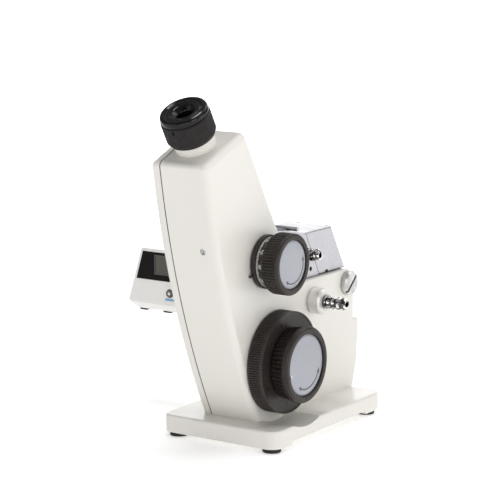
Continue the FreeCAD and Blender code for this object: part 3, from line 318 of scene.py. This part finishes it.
def brushed_metal(name, colour, stretch):
    """Ground metal with long fine scratches along one direction."""
    look = Look(name, colour, 0.35, 0.9)
    look.mottle(30, 0.93)
    scratches = look.spread(look.noise(900, 5.0, stretch), 0, 0.35)
    look.blend(scratches, look.tone, tuple(channel * 0.72 for channel in colour))
    look.edge_wear_and_highlight(tuple(min(1, channel * 1.3) for channel in colour), 0.5, 0.7)
    look.gloss(0.30, 0.46, 900, stretch)
    look.grain(1400, 0.010, stretch, 5.0)
    return look


def prism_block_metal():
    look = brushed_metal("prism_block_metal", (0.58, 0.575, 0.605), (0.05, 1, 1))
    # Painted shade darkening the joints and recesses of the block.
    look.painted_recess_shade((0.12, 0.12, 0.125), 2.4)
    return look.made


def screw_steel():
    return brushed_metal("screw_steel", (0.55, 0.55, 0.56), (1, 1, 0.2)).made


def bright_chrome(name, painted_dark_reflections):
    """Polished plating with faint smears and painted shade in its recesses; its second argument adds patches of
    painted dark reflection.
    """
    look = Look(name, (0.86, 0.86, 0.87), 0.1, 1.0)
    look.mottle(50, 0.93)
    if painted_dark_reflections:
        # Patches of painted dark reflection, standing in for dark surroundings mirrored in the plating.
        look.blend(look.spread(look.noise(330, 1.5), 0, 1, 0.05), look.tone, (0.10, 0.09, 0.085))
    # Painted shade at the roots of the barbs and in other recesses.
    look.painted_recess_shade((0.02, 0.018, 0.016), 2.8)
    look.gloss(0.06, 0.15, 190)
    look.grain(500, 0.002)
    return look.made


def satin_nickel(name, colour, metal, cloud, darker):
    """Softer plating of the hose bosses and the hinge head, clouded by polishing, with painted shade in its
    recesses.
    """
    look = Look(name, colour, 0.34, metal)
    look.mottle(cloud, darker)
    # Painted shade round the roots of the nozzles and in other recesses.
    look.painted_recess_shade(tuple(channel * 0.4 for channel in colour), 2.5)
    look.edge_wear_and_highlight((0.95, 0.95, 0.93), 0.5, 0.6)
    look.gloss(0.28, 0.38, 160)
    look.grain(900, 0.0015)
    return look.made


def ring_plastic():
    """Blacker phenolic of the focusing ring, with painted shade in the valleys of its knurl."""
    look = Look("ring_plastic", (0.024, 0.020, 0.020), 0.42)
    look.shader.inputs["Specular IOR Level"].default_value = 0.2
    look.mottle(70, 0.72)
    # Painted shade in the knurl's valleys.
    look.painted_recess_shade((0.004, 0.0035, 0.0035), 0.7)
    look.edge_wear_and_highlight((0.16, 0.15, 0.145), 0.25, 0.6)
    look.gloss(0.36, 0.52, 150)
    look.grain(1300, 0.012)
    return look.made


def brass():
    look = Look("brass", (0.66, 0.47, 0.20), 0.3, 1.0)
    look.mottle(80, 0.8)
    look.gloss(0.22, 0.42, 300)
    look.grain(1200, 0.01)
    return look.made


def bronze():
    look = Look("bronze", (0.50, 0.31, 0.14), 0.4, 1.0)
    look.mottle(160, 0.75)
    look.gloss(0.3, 0.5, 500)
    look.grain(1800, 0.02)
    return look.made


def black_anodised():
    look = Look("black_anodised", (0.025, 0.025, 0.028), 0.6, 0.3)
    look.mottle(90, 0.7)
    look.gloss(0.5, 0.7, 400)
    look.grain(1500, 0.012)
    return look.made


def optical_glass():
    """Clear glass with a faint coating tint and a trace of dust."""
    look = Look("optical_glass", (0.93, 0.97, 0.98), 0.02)
    look.shader.inputs["Transmission Weight"].default_value = 1.0
    look.shader.inputs["IOR"].default_value = 1.55
    look.mottle(60, 0.97)
    look.gloss(0.01, 0.05, 350)
    return look.made


def mirror_glass():
    look = Look("mirror_glass", (0.88, 0.90, 0.91), 0.04, 1.0)
    look.mottle(30, 0.97)
    look.gloss(0.02, 0.08, 200)
    return look.made


def thermometer_plastic():
    """Cooler white moulded plastic, finely textured."""
    look = Look("thermometer_plastic", (0.86, 0.845, 0.82), 0.4)
    look.mottle(20, 0.97)
    look.edge_wear_and_highlight((0.88, 0.88, 0.87), 0.5, 0.4)
    look.gloss(0.34, 0.48, 200)
    look.grain(1500, 0.018)
    return look.made


def window_black():
    look = Look("window_black", (0.005, 0.0035, 0.003), 0.10)
    look.mottle(50, 0.7)
    look.gloss(0.04, 0.12, 120)
    look.grain(90, 0.004)
    look.shader.inputs["Specular IOR Level"].default_value = 0.1
    return look.made


def display_green():
    """Reflective liquid crystal, a slightly uneven olive grey."""
    look = Look("display_green", (0.060, 0.058, 0.036), 0.25)
    look.mottle(60, 0.8)
    look.gloss(0.18, 0.32, 90)
    look.grain(2400, 0.004)
    return look.made


def button_grey():
    look = Look("button_grey", (0.16, 0.13, 0.12), 0.4)
    look.mottle(300, 0.85)
    look.gloss(0.3, 0.5, 600)
    look.grain(1600, 0.01)
    return look.made


def printed(name, colour):
    """Screen-printed ink, slightly uneven."""
    look = Look(name, colour, 0.5)
    look.mottle(500, 0.85)
    look.gloss(0.4, 0.6, 700)
    look.grain(2500, 0.01)
    return look.made


LOOKS = {
    "casing_enamel": enamel(), "foot_rubber": rubber(), "screw_steel": screw_steel(),
    "knob_plastic": knob_plastic(), "knob_disc_grey": anodised_disc(), "bronze": bronze(),
    "gear_brass": brass(), "black_anodised": black_anodised(), "optical_glass": optical_glass(),
    "mirror_glass": mirror_glass(), "prism_block_metal": prism_block_metal(),
    "bright_chrome": bright_chrome("bright_chrome", False), "thermometer_plastic": thermometer_plastic(),
    "window_black": window_black(), "display_green": display_green(), "button_grey": button_grey(),
}
# Nozzle plating with patches of painted dark reflection.
NOZZLE_CHROME = bright_chrome("nozzle_chrome", True)
EYECUP = eyecup_plastic()
RING = ring_plastic()
BOSS_NICKEL = satin_nickel("boss_nickel", (0.90, 0.88, 0.84), 0.35, 60, 0.8)
HINGE_NICKEL = satin_nickel("hinge_nickel", (0.74, 0.73, 0.71), 0.7, 160, 0.6)
WHITE_INK = printed("white_ink", (0.72, 0.72, 0.70))
GREY_INK = printed("grey_ink", (0.10, 0.10, 0.12))
BLUE_INK = printed("blue_ink", (0.17, 0.42, 0.64))
FRAME_GREY = printed("frame_grey", (0.10, 0.10, 0.10))

# Nodes whose plating differs from the common look of their slot.
OWN_LOOKS = {
    "hose_bosses": BOSS_NICKEL, "hinge_shaft": HINGE_NICKEL, "hose_nozzles": NOZZLE_CHROME,
    "box_hose_nozzles": NOZZLE_CHROME,
}


def dress_frame():
    """Every CAD node takes its own look, or else the look of its slot."""
    for entry in frame["record"]["subparts"]:
        look = OWN_LOOKS.get(entry["node"], LOOKS[entry["material_slot"]])
        mesh = nodes[entry["node"]].data
        mesh.materials.clear()
        mesh.materials.append(look)


# ---------------------------------------------------------------- mesh helpers

def knob_axis(joint):
    """Local Z along +X out of the casing's face, local X along +Y, at a joint."""
    at = Vector(joints[joint]["pos_m"])
    outwards = Matrix(((0, 0, 1), (1, 0, 0), (0, 1, 0))).to_4x4()
    return Matrix.Translation(at) @ outwards


def telescope_axis():
    """Local Z up the telescope, local X along +X, at the casing's sloping top face."""
    joint = joints["diopter_turn"]
    up = Vector(joint["axis"]).normalized()
    side = Vector((1, 0, 0))
    upwards = Matrix((side, up.cross(side), up)).transposed().to_4x4()
    return Matrix.Translation(Vector(joint["pos_m"])) @ upwards


def keep(name, built, place, look, body, slot, *replaced):
    """A finished piece: smooth but for its sharp edges, riding on its body."""
    bmesh.ops.recalc_face_normals(built, faces=built.faces)
    mesh = bpy.data.meshes.new(name)
    built.to_mesh(mesh)
    built.free()
    mesh.transform(place)
    mesh.shade_smooth()
    mesh.set_sharp_from_angle(angle=math.radians(38))
    mesh.materials.append(look)
    made = bpy.data.objects.new(name, mesh)
    bpy.context.scene.collection.objects.link(made)
    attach(made, body)
    if replaced:
        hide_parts(*replaced)
    return made


def rounded(corners, radius, steps=3):
    """The corners of a closed section cut back and rounded; corners on the axis stay."""
    loop = []
    for index, corner in enumerate(corners):
        here = Vector(corner)
        before, after = Vector(corners[index - 1]), Vector(corners[(index + 1) % len(corners)])
        if here.y == 0:
            loop.append(here)
            continue
        reach = min(radius, (before - here).length * 0.45, (after - here).length * 0.45)
        start = here + (before - here).normalized() * reach
        end = here + (after - here).normalized() * reach
        for step in range(steps + 1):
            t = step / steps
            loop.append(start * (1 - t) ** 2 + here * 2 * t * (1 - t) + end * t ** 2)
    return loop


def dense(loop, gap):
    """The section with more points, none further apart than the gap."""
    points = []
    for index, here in enumerate(loop):
        after = loop[(index + 1) % len(loop)]
        count = max(1, math.ceil((after - here).length / gap))
        points += [here.lerp(after, step / count) for step in range(count)]
    return points


def turned(loop, turns, shape=None):
    """A section of (height, radius) points swept round local Z; shape(angle, height, radius) varies it."""
    built = bmesh.new()
    rings = []
    for step in range(turns):
        angle = 2 * math.pi * step / turns
        ring = []
        for height, radius in loop:
            reach = shape(angle, height, radius) if shape else radius
            spot = Vector((reach * math.cos(angle), reach * math.sin(angle), height))
            ring.append(built.verts.new(spot * MM))
        rings.append(ring)
    for step, here in enumerate(rings):
        after = rings[(step + 1) % turns]
        for index in range(len(loop)):
            follow = (index + 1) % len(loop)
            if loop[index][1] > 0 or loop[follow][1] > 0:
                built.faces.new((here[index], after[index], after[follow], here[follow]))
    bmesh.ops.remove_doubles(built, verts=built.verts, dist=1e-7)
    return built


def gather(whole, piece, place=Matrix.Identity(4)):
    """One more piece, moved to its place, in the same mesh."""
    piece.transform(place)
    mesh = bpy.data.meshes.new("piece")
    piece.to_mesh(mesh)
    piece.free()
    whole.from_mesh(mesh)


def fade(value, low, high, soft):
    """1 between low and high, falling to 0 over a soft margin inside them."""
    return max(0.0, min(1.0, (value - low) / soft, (high - value) / soft))


def skin(built, rings):
    """Quads between each closed ring of points and the next one."""
    for near, far in zip(rings, rings[1:]):
        for index in range(len(near)):
            follow = (index + 1) % len(near)
            built.faces.new((near[index], near[follow], far[follow], far[index]))


def raised(outlines, low, high):
    """Flat outlines, given as lists of (x, y), made into plates between two heights."""
    built = bmesh.new()
    for outline in outlines:
        rims = []
        for height in (low, high):
            rims.append([built.verts.new((x * MM, y * MM, height * MM)) for x, y in outline])
        built.faces.new(rims[0][::-1])
        built.faces.new(rims[1])
        skin(built, rims)
    return built


# ---------------------------------------------------------------- index handwheel

def handwheel_flange():
    """Large wheel with a finely toothed rim and a plain lip at its front."""
    back, front, rim, bore, seat = 1, 12.5, 35.3, 4, 22.8
    teeth, deep, low, high = 132, 0.75, 1.6, 11.1
    section = [(back, bore), (front - 4, bore), (front - 4, seat), (front, seat),
               (front - 0.5, seat + 2.5), (front - 0.5, rim - 1.6), (front, rim - 0.9), (front, rim),
               (high + 0.25, rim), (high, rim - 0.35), (high - 0.25, rim), (back, rim)]

    def milled(angle, height, radius):
        if radius < rim - 0.2:
            return radius
        crest = abs(math.sin(teeth * angle / 2)) ** 0.6
        return radius - deep * (1 - crest) * fade(height, low, high - 0.3, 0.5)

    built = turned(dense(rounded(section, 0.35, 2), 1.6), teeth * 6, milled)
    keep("handwheel_wheel", built, knob_axis("handwheel_turn"), LOOKS["knob_plastic"], "handwheel",
         "knob_plastic", "handwheel_flange")


def handwheel_grip():
    """Barrel with coarse ribs that widens towards a plain front ring."""
    back, front, rim, bore, recess = 12.5, 26.5, 26.4, 4, 21.2
    ribs, deep, ribs_end = 52, 1.05, 22.4
    section = [(back - 4, bore), (front - 3, bore), (front - 3, recess), (front - 0.7, recess),
               (front, recess + 0.7), (front, rim - 1.4), (front - 1.4, rim), (ribs_end + 0.6, rim),
               (ribs_end - 1.6, rim - 0.5), (back, rim - 2.0), (back, 22.8), (back - 4, 22.8)]

    def ribbed(angle, height, radius):
        if radius < 23 or height > ribs_end:
            return radius
        groove = (0.5 - 0.5 * math.cos(ribs * angle)) ** 1.6
        return radius - deep * groove * fade(height, back - 1, ribs_end, 1.8)

    built = turned(dense(rounded(section, 0.5, 3), 0.9), ribs * 10, ribbed)
    keep("handwheel_barrel", built, knob_axis("handwheel_turn"), LOOKS["knob_plastic"], "handwheel",
         "knob_plastic", "handwheel_grip")


def face_plate(name, joint, body, node, low, high, radius, notch_at=None):
    """Round grey plate in the front of a knob, with a small locating notch in its rim if asked."""
    notch_wide, notch_deep = 1.2, 3.8

    def notched(angle, height, reach):
        if notch_at is None or reach < radius - 1:
            return reach
        off = math.remainder(angle - math.radians(notch_at), 2 * math.pi) * radius
        return reach - notch_deep * math.sqrt(max(0, 1 - (off / notch_wide) ** 2))

    section = [(low, 0), (high, 0), (high, radius - 0.9), (high - 0.35, radius - 0.6),
               (high - 0.35, radius), (low, radius)]
    built = turned(rounded(section, 0.15, 2), 300, notched)
    keep(name, built, knob_axis(joint), LOOKS["knob_disc_grey"], body, "knob_disc_grey", node)


def turn_arrow(name, joint, body, height, radius, start, end, wide, head):
    """A double-headed curved arrow printed on a knob's plate."""
    steps = 40

    def at(angle, reach):
        return (reach * math.cos(angle), reach * math.sin(angle))

    first, last = math.radians(start), math.radians(end)
    sweep = [first + (last - first) * step / steps for step in range(steps + 1)]
    band = [at(angle, radius + wide / 2) for angle in sweep]
    band += [at(angle, radius - wide / 2) for angle in sweep[::-1]]
    tips = []
    for angle, way in ((first, -1), (last, 1)):
        tips.append([at(angle, radius - head / 2), at(angle, radius + head / 2),
                     at(angle + way * head * 1.1 / radius, radius)][::-way])
    built = raised([band] + tips, height, height + 0.05)
    keep(name, built, knob_axis(joint), GREY_INK, body, "knob_disc_grey")


# ---------------------------------------------------------------- dispersion knob

DRUM_BACK, DRUM_FRONT, DRUM_RADIUS, CONE_FROM = 1, 11.1, 17.3, 6.0
KNOB_FRONT, KNOB_RADIUS = 23.3, 21


def cone_radius(height):
    """Radius of the drum at a height on its conical part."""
    share = max(0, (height - CONE_FROM) / (DRUM_FRONT - CONE_FROM))
    return DRUM_RADIUS + (KNOB_RADIUS - 0.4 - DRUM_RADIUS) * share


def dispersion_drum():
    """Scale drum: a plain back ring, a narrow band for the ticks and a cone for the figures."""
    bore, ring_wide, ring_proud = 4, 3.4, 1.2
    section = [(DRUM_BACK, bore), (DRUM_FRONT, bore),
               (DRUM_FRONT, KNOB_RADIUS - 0.4), (CONE_FROM, DRUM_RADIUS),
               (DRUM_BACK + ring_wide, DRUM_RADIUS), (DRUM_BACK + ring_wide, DRUM_RADIUS + ring_proud),
               (DRUM_BACK, DRUM_RADIUS + ring_proud)]
    built = turned(rounded(section, 0.35, 3), 240)
    keep("dispersion_scale_drum", built, knob_axis("dispersion_turn"), LOOKS["knob_plastic"],
         "dispersion_knob", "knob_plastic", "dispersion_drum")


def wrapped(built, lift):
    """Marks laid out flat as (arc length, height) bent round the drum, standing proud by a lift."""
    for vertex in built.verts:
        height = vertex.co.y / MM
        radius = cone_radius(height) + lift + vertex.co.z / MM
        angle = vertex.co.x / MM / DRUM_RADIUS
        vertex.co = Vector((radius * math.cos(angle), radius * math.sin(angle), height)) * MM
    return built


def figure_mesh(text, size, bolder):
    """The flat mesh of a short figure, centred on the origin, its strokes made bolder."""
    curve = bpy.data.curves.new("figure", "FONT")
    curve.body = text
    curve.size = size * MM
    curve.extrude = 0.04 * MM
    curve.offset = bolder * MM
    curve.align_x, curve.align_y = "CENTER", "CENTER"
    made = bpy.data.objects.new("figure", curve)
    bpy.context.scene.collection.objects.link(made)
    bpy.context.view_layer.update()
    mesh = bpy.data.meshes.new_from_object(made.evaluated_get(bpy.context.evaluated_depsgraph_get()))
    bpy.data.objects.remove(made)
    return mesh


def dispersion_marks():
    """White ticks round the drum and a figure at every tenth of them."""
    ticks, per_figure, per_long, wide = 120, 10, 5, 0.5
    size, bolder, figures_at, figure_step = 3.7, 0.07, 9.0, 5
    built = bmesh.new()
    for index in range(ticks):
        along = 2 * math.pi * DRUM_RADIUS * index / ticks
        low, high = 4.6, 6.1 if index % per_long else 6.9
        left, right = along - wide / 2, along + wide / 2
        gather(built, raised([[(left, low), (right, low), (right, high), (left, high)]], 0.0, 0.05))
    for index in range(ticks // per_figure):
        mesh = figure_mesh(str(index * figure_step), size, bolder)
        along = 2 * math.pi * DRUM_RADIUS * index / (ticks // per_figure)
        quarter = Matrix.Rotation(math.radians(-90), 4, "Z")
        mesh.transform(Matrix.Translation(Vector((along, figures_at, 0)) * MM) @ quarter)
        built.from_mesh(mesh)
    keep("dispersion_scale_marks", wrapped(built, 0.02), knob_axis("dispersion_turn"), WHITE_INK,
         "dispersion_knob", "knob_plastic")


def dispersion_grip():
    """Ribbed grip with a narrow plain ring round its front."""
    bore, recess = 4, 16.5
    ribs, deep, low, high = 64, 0.75, DRUM_FRONT + 0.6, KNOB_FRONT - 1.5
    section = [(DRUM_FRONT, bore), (KNOB_FRONT - 2.5, bore),
               (KNOB_FRONT - 2.5, recess), (KNOB_FRONT - 0.5, recess),
               (KNOB_FRONT, recess + 0.5), (KNOB_FRONT, KNOB_RADIUS - 1.2), (KNOB_FRONT - 1.0, KNOB_RADIUS),
               (low, KNOB_RADIUS), (DRUM_FRONT, KNOB_RADIUS - 0.5)]

    def ribbed(angle, height, radius):
        if radius < KNOB_RADIUS - 1:
            return radius
        groove = (0.5 - 0.5 * math.cos(ribs * angle)) ** 1.3
        return radius - deep * groove * fade(height, low - 0.9, high, 0.8)

    built = turned(dense(rounded(section, 0.4, 3), 0.8), ribs * 10, ribbed)
    keep("dispersion_barrel", built, knob_axis("dispersion_turn"), LOOKS["knob_plastic"], "dispersion_knob",
         "knob_plastic", "dispersion_grip")


def dispersion_pointer():
    """Black index on the casing beside the scale drum."""
    angle, near, far, half, proud = math.radians(202), 18.7, 20.8, 0.9, 2.2
    way = Vector((math.cos(angle), math.sin(angle)))
    side = Vector((-way.y, way.x))
    outline = [way * near + side * half * 0.3, way * near - side * half * 0.3, way * far - side * half,
               way * far + side * half]
    built = raised([outline], 0, proud)
    bmesh.ops.bevel(built, geom=built.edges[:], offset=0.15 * MM, segments=2, affect="EDGES")
    keep("dispersion_pointer", built, knob_axis("dispersion_turn"), LOOKS["knob_plastic"], "stand",
         "knob_plastic")


# ---------------------------------------------------------------- eyepiece and casing

RING_LOW, RING_TOP, RING_RADIUS, EYECUP_TOP, EYECUP_RADIUS, NECK = 9.4, 26.4, 17, 31.1, 16.5, 12.55


def diopter_ring():
    """Focusing ring with a fine diamond knurl between plain bands, and its set-screw hole."""
    cells, deep, low, high = 66, 0.5, RING_LOW + 2.6, RING_TOP - 1.3
    hole_at, hole_height, hole_radius = math.radians(-90), RING_TOP - 2.9, 1.2
    section = [(RING_LOW, NECK), (RING_LOW, RING_RADIUS - 1.5),
               (RING_LOW + 1.5, RING_RADIUS - 0.9), (low, RING_RADIUS),
               (high, RING_RADIUS), (high + 0.3, RING_RADIUS - 0.45), (high + 0.7, RING_RADIUS - 0.1),
               (RING_TOP - 0.5, RING_RADIUS - 0.1), (RING_TOP, RING_RADIUS - 0.6), (RING_TOP, NECK)]

    def knurled(angle, height, radius):
        if radius < RING_RADIUS - 1.2:
            return radius
        along = (height - low) * cells / RING_RADIUS * 0.62
        left = abs(math.sin((cells * angle + along) / 2))
        right = abs(math.sin((cells * angle - along) / 2))
        cut = 1 - min(left, right) ** 0.7
        off = math.hypot(math.remainder(angle - hole_at, 2 * math.pi) * RING_RADIUS, height - hole_height)
        hole = 2.2 if off < hole_radius else 0
        return radius - deep * cut * fade(height, low, high, 0.4) - hole

    built = turned(dense(rounded(section, 0.3, 3), 0.42), cells * 8, knurled)
    keep("knurled_diopter_ring", built, telescope_axis(), RING, "diopter", "knob_plastic",
         "diopter_ring")


def eyecup():
    """Glossy cup with a soft outer edge, a shallow dish and a conical sight hole."""
    top, foot = EYECUP_TOP, RING_TOP - 3.4
    spigot = [(foot, 6), (foot, 12), (RING_TOP, 12), (RING_TOP, EYECUP_RADIUS - 0.5)]
    outside = [(RING_TOP + 0.5, EYECUP_RADIUS), (top - 2.2, EYECUP_RADIUS),
               (top - 0.7, EYECUP_RADIUS - 0.7), (top, EYECUP_RADIUS - 2.6)]
    dish = [(top - 0.3, 12.8), (top - 1.0, 11.7), (top - 0.4, 11.1), (top - 0.6, 10.5)]
    cone = [(top - 1.3, 7.9), (top - 1.9, 7.1), (RING_TOP + 0.5, 4.9), (RING_TOP - 1.4, 4.7),
            (RING_TOP - 1.4, 6)]
    section = spigot + outside + dish + cone
    built = turned(dense(rounded(section, 0.7, 4), 1.5), 160)
    keep("moulded_eyecup", built, telescope_axis(), EYECUP, "diopter", "knob_plastic", "eyecup")


def collar_thread():
    """Fine rounded threads round the collar under the focusing ring."""
    low, high, inner, crest, pitch = 2.6, 8.2, 13.1, 13.75, 1.4
    section = [(low, inner), (low, crest - 0.3)]
    for step in range(int((high - low) / pitch)):
        foot = low + step * pitch
        section += [(foot + 0.35, crest), (foot + pitch - 0.35, crest), (foot + pitch, crest - 0.35)]
    section += [(high, inner)]
    keep("collar_thread", turned(rounded(section, 0.2, 2), 128), telescope_axis(),
         LOOKS["casing_enamel"], "stand", "casing_enamel")


def cut_outline(node, across):
    """Points of the tallest closed outline that a plane at X = across cuts from a CAD node."""
    weld, touching = 2e-6, 1e-6
    whole = bmesh.new()
    whole.from_mesh(nodes[node].data)
    bmesh.ops.remove_doubles(whole, verts=whole.verts[:], dist=weld)
    cut = bmesh.ops.bisect_plane(whole, geom=whole.verts[:] + whole.edges[:] + whole.faces[:],
                                 plane_co=(across, 0, 0), plane_no=(1, 0, 0))
    waiting = dict.fromkeys(part for part in cut["geom_cut"] if isinstance(part, bmesh.types.BMEdge))
    outlines = []
    while waiting:
        edge = next(iter(waiting))
        chain = [edge.verts[0]]
        while edge:
            del waiting[edge]
            chain.append(edge.other_vert(chain[-1]))
            edge = next((near for near in chain[-1].link_edges if near in waiting), None)
        outlines.append([vertex.co.copy() for vertex in chain])
    whole.free()
    outline = max(outlines, key=lambda points: max(p.z for p in points) - min(p.z for p in points))
    if (outline[0] - outline[-1]).length < touching:
        outline.pop()
    return outline


def seam_shade_strip():
    """Dark strip in the seam between the casing and its left cover, standing in as painted shade for the shadow in
    the seam.
    """
    cut_in, half_wide, root, crest = 0.62, 0.3, -1.0, -0.1
    outline = cut_outline("left_cover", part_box("left_cover")[1].x - cut_in * MM)
    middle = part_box("main_casing")[0].x
    area = sum(a.y * b.z - b.y * a.z for a, b in zip(outline, outline[1:] + outline[:1]))
    sign = 1 if area > 0 else -1
    built = bmesh.new()
    rings = []
    for side, depth in ((-half_wide, root), (-half_wide, crest), (half_wide, crest), (half_wide, root)):
        ring = []
        for index, here in enumerate(outline):
            before, after = outline[index - 1], outline[(index + 1) % len(outline)]
            along = (after - before).normalized()
            out = Vector((0, along.z, -along.y)) * sign
            ring.append(built.verts.new(Vector((middle + side * MM, here.y, here.z)) + out * depth * MM))
        rings.append(ring)
    skin(built, rings + rings[:1])
    # A dark strip of painted shade laid in the seam.
    keep("seam_shade_strip", built, Matrix.Identity(4), LOOKS["foot_rubber"], "stand", "foot_rubber")


# ---------------------------------------------------------------- thermometer

METER_HALF, METER_CUT, METER_LOW, METER_LEAN, METER_CORNER = 23.4, 7.0, 0.6, 0.30, 5.1


def meter_place():
    """Local X along the front of the thermometer, Y into it and Z up from its foot, at its middle."""
    low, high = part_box("thermometer_case")
    return Matrix.Translation(Vector(((low.x + high.x) / 2, low.y, low.z)))


def meter_section(low, top, inset):
    """Leaning sides and cut lower corners between two heights."""
    def half(height):
        return METER_HALF - METER_LEAN * (height - METER_CUT) - inset

    cut_in = METER_CORNER * (METER_CUT - low) / (METER_CUT - METER_LOW)
    right = [(half(METER_CUT) - cut_in, low), (half(METER_CUT), METER_CUT), (half(top), top)]
    return rounded(right + [(-x, height) for x, height in right[::-1]], 1.3, 4)


def meter_shell(stations):
    """A housing lofted through sections given as (depth, low, top, inset)."""
    built = bmesh.new()
    rims = []
    for depth, low, top, inset in stations:
        section = meter_section(low, top, inset)
        rims.append([built.verts.new((point.x * MM, depth * MM, point.y * MM)) for point in section])
    skin(built, rims)
    built.faces.new(rims[0])
    built.faces.new(rims[-1][::-1])
    return built


def thermometer_housing():
    """Front half with a slanting lip and underside, rear half whose top falls away, and two pads."""
    plastic = LOOKS["thermometer_plastic"]
    front = [(0.42, 5.9, 44.9, 0.7), (0.8, 5.5, 45.4, 0.25), (2.4, 3.6, 45.9, 0), (5.4, METER_LOW, 45.2, 0),
             (9.6, METER_LOW, 44.1, 0), (10, 1.0, 43.7, 0.4)]
    rear = [(10.05, 1.0, 43.7, 0.4), (10.45, METER_LOW, 43.9, 0), (23.5, METER_LOW, 40.6, 0),
            (25.4, 1.6, 39.6, 0.7), (26, 3.0, 38.2, 2.0)]
    keep("slanted_meter_front", meter_shell(front), meter_place(), plastic, "stand",
         "thermometer_plastic", "thermometer_case")
    keep("slanted_meter_rear", meter_shell(rear), meter_place(), plastic, "stand",
         "thermometer_plastic", "thermometer_back")
    near, far, wide = 7, 12, 6.5
    pads = [[(x, near), (x + wide, near), (x + wide, far), (x, far)] for x in (-18, 3)]
    built = raised(pads, -1.1, METER_LOW + 0.1)
    bmesh.ops.bevel(built, geom=built.edges[:], offset=0.3 * MM, segments=2, affect="EDGES")
    keep("soft_meter_pads", built, meter_place(), LOOKS["foot_rubber"], "stand", "foot_rubber",
         "thermometer_feet")


def thermometer_face():
    """Ringed button with a pale middle, its bezel and a coloured bar under it."""
    low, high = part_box("thermometer_button")
    middle = (low + high) / 2
    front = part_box("thermometer_case")[0].y
    facing = Matrix(((1, 0, 0), (0, 0, -1), (0, 1, 0))).to_4x4()
    place = Matrix.Translation(Vector((middle.x, front, middle.z))) @ facing
    proud = (front - low.y) / MM
    radius = (high.x - low.x) / 2 / MM
    foot, dish = -2, proud - 0.6
    button = [(foot, 0), (dish, 0), (dish, radius * 0.45), (proud, radius * 0.65),
              (proud - 0.1, radius * 0.9), (proud - 0.5, radius), (foot, radius)]
    bezel = [(-0.5, radius + 0.05), (0.0, radius + 0.05), (-0.1, radius + 0.5), (-0.5, radius + 0.5)]
    pale = [(dish, 0), (proud - 0.35, 0), (proud - 0.42, radius * 0.42), (dish, radius * 0.42)]
    keep("button_bezel", turned(rounded(bezel, 0.1, 2), 72), place, LOOKS["knob_plastic"], "stand",
         "knob_plastic")
    keep("ringed_button", turned(rounded(button, 0.3, 3), 72), place, LOOKS["button_grey"], "button",
         "button_grey", "thermometer_button")
    keep("button_middle", turned(rounded(pale, 0.1, 2), 48), place, LOOKS["thermometer_plastic"],
         "button", "thermometer_plastic")
    half_wide, below, tall, ends, points = 4.0, 4.7, 1.5, 0.75, 24
    bar = []
    for index in range(points):
        angle = 2 * math.pi * index / points
        side = half_wide - ends if math.cos(angle) > 0 else ends - half_wide
        bar.append((side + ends * math.cos(angle), -below + tall / 2 * math.sin(angle)))
    keep("button_bar", raised([bar], -0.2, 0.02), place, BLUE_INK, "stand", "thermometer_plastic")


def display_frame():
    """Thin dark frame round the liquid crystal, hardly proud of the black window."""
    wider, sunk, proud = 1.09, 0.3, -0.06
    low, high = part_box("thermometer_display")
    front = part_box("thermometer_window")[0].y
    mesh = nodes["thermometer_display"].data
    face = [vertex.co for vertex in mesh.vertices if abs(vertex.co.y - low.y) < 0.02 * MM]
    middle = (low + high) / 2
    corners = sorted({(round(point.x, 6), round(point.z, 6)) for point in face},
                     key=lambda point: math.atan2(point[1] - middle.z, point[0] - middle.x))
    built = bmesh.new()
    rings = []
    for grow, depth in ((1.0, sunk), (1.0, proud), (wider, proud), (wider, sunk)):
        ring = []
        for x, z in corners:
            spot = (middle.x + (x - middle.x) * grow, front + depth * MM, middle.z + (z - middle.z) * grow)
            ring.append(built.verts.new(spot))
        rings.append(ring)
    skin(built, rings + rings[:1])
    keep("display_frame", built, Matrix.Identity(4), FRAME_GREY, "stand", "window_black")


# ---------------------------------------------------------------- hinge

def hinge_shaft():
    """The hinge shaft as it was tightened, with its slot leaning back."""
    built = bmesh.new()
    built.from_mesh(nodes["hinge_shaft"].data)
    middle = Vector(joints["prism_box_open"]["pos_m"])
    screwed_in = Matrix.Rotation(math.radians(-90), 4, "X")
    place = Matrix.Translation(middle) @ screwed_in @ Matrix.Translation(-middle)
    keep("tightened_hinge_shaft", built, place, HINGE_NICKEL, "stand", "screw_steel", "hinge_shaft")


# ---------------------------------------------------------------- feet

def rubber_feet():
    """Moulded feet with a soft lower edge and a groove round the side."""
    low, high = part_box("rubber_feet")
    radius, tall, bore, head = 6.5, 3.5, 2.0, 3.4
    inset = Vector((radius * MM, radius * MM, 0))
    groove, screw_seat = 1.9, 2.2
    section = [(0, head), (0, radius - 0.2), (groove - 0.4, radius), (groove, radius - 0.5),
               (groove + 0.4, radius - 0.1), (tall, radius - 0.2),
               (tall, bore), (screw_seat, bore), (screw_seat, head)]
    built = bmesh.new()
    for x in (low.x + inset.x, high.x - inset.x):
        for y in (low.y + inset.y, high.y - inset.y):
            gather(built, turned(rounded(section, 0.5, 3), 64), Matrix.Translation((x, y, 0)))
    keep("moulded_feet", built, Matrix.Identity(4), LOOKS["foot_rubber"], "stand", "foot_rubber",
         "rubber_feet")


# ---------------------------------------------------------------- put together

look_from_the_front_right()
studio()
softboxes()
floor()
dress_frame()
handwheel_flange()
handwheel_grip()
face_plate("handwheel_plate", "handwheel_turn", "handwheel", "handwheel_disc",
           low=24.3, high=25.5, radius=20.9, notch_at=196)
turn_arrow("handwheel_arrow", "handwheel_turn", "handwheel",
           height=25.5, radius=16.8, start=-112, end=-28, wide=1.0, head=3.2)
dispersion_drum()
dispersion_marks()
dispersion_grip()
face_plate("dispersion_plate", "dispersion_turn", "dispersion_knob", "dispersion_disc",
           low=21.3, high=22.5, radius=16.2)
turn_arrow("dispersion_arrow", "dispersion_turn", "dispersion_knob",
           height=22.5, radius=13.1, start=-115, end=5, wide=0.9, head=2.8)
dispersion_pointer()
diopter_ring()
eyecup()
collar_thread()
seam_shade_strip()
hinge_shaft()
thermometer_housing()
thermometer_face()
display_frame()
rubber_feet()
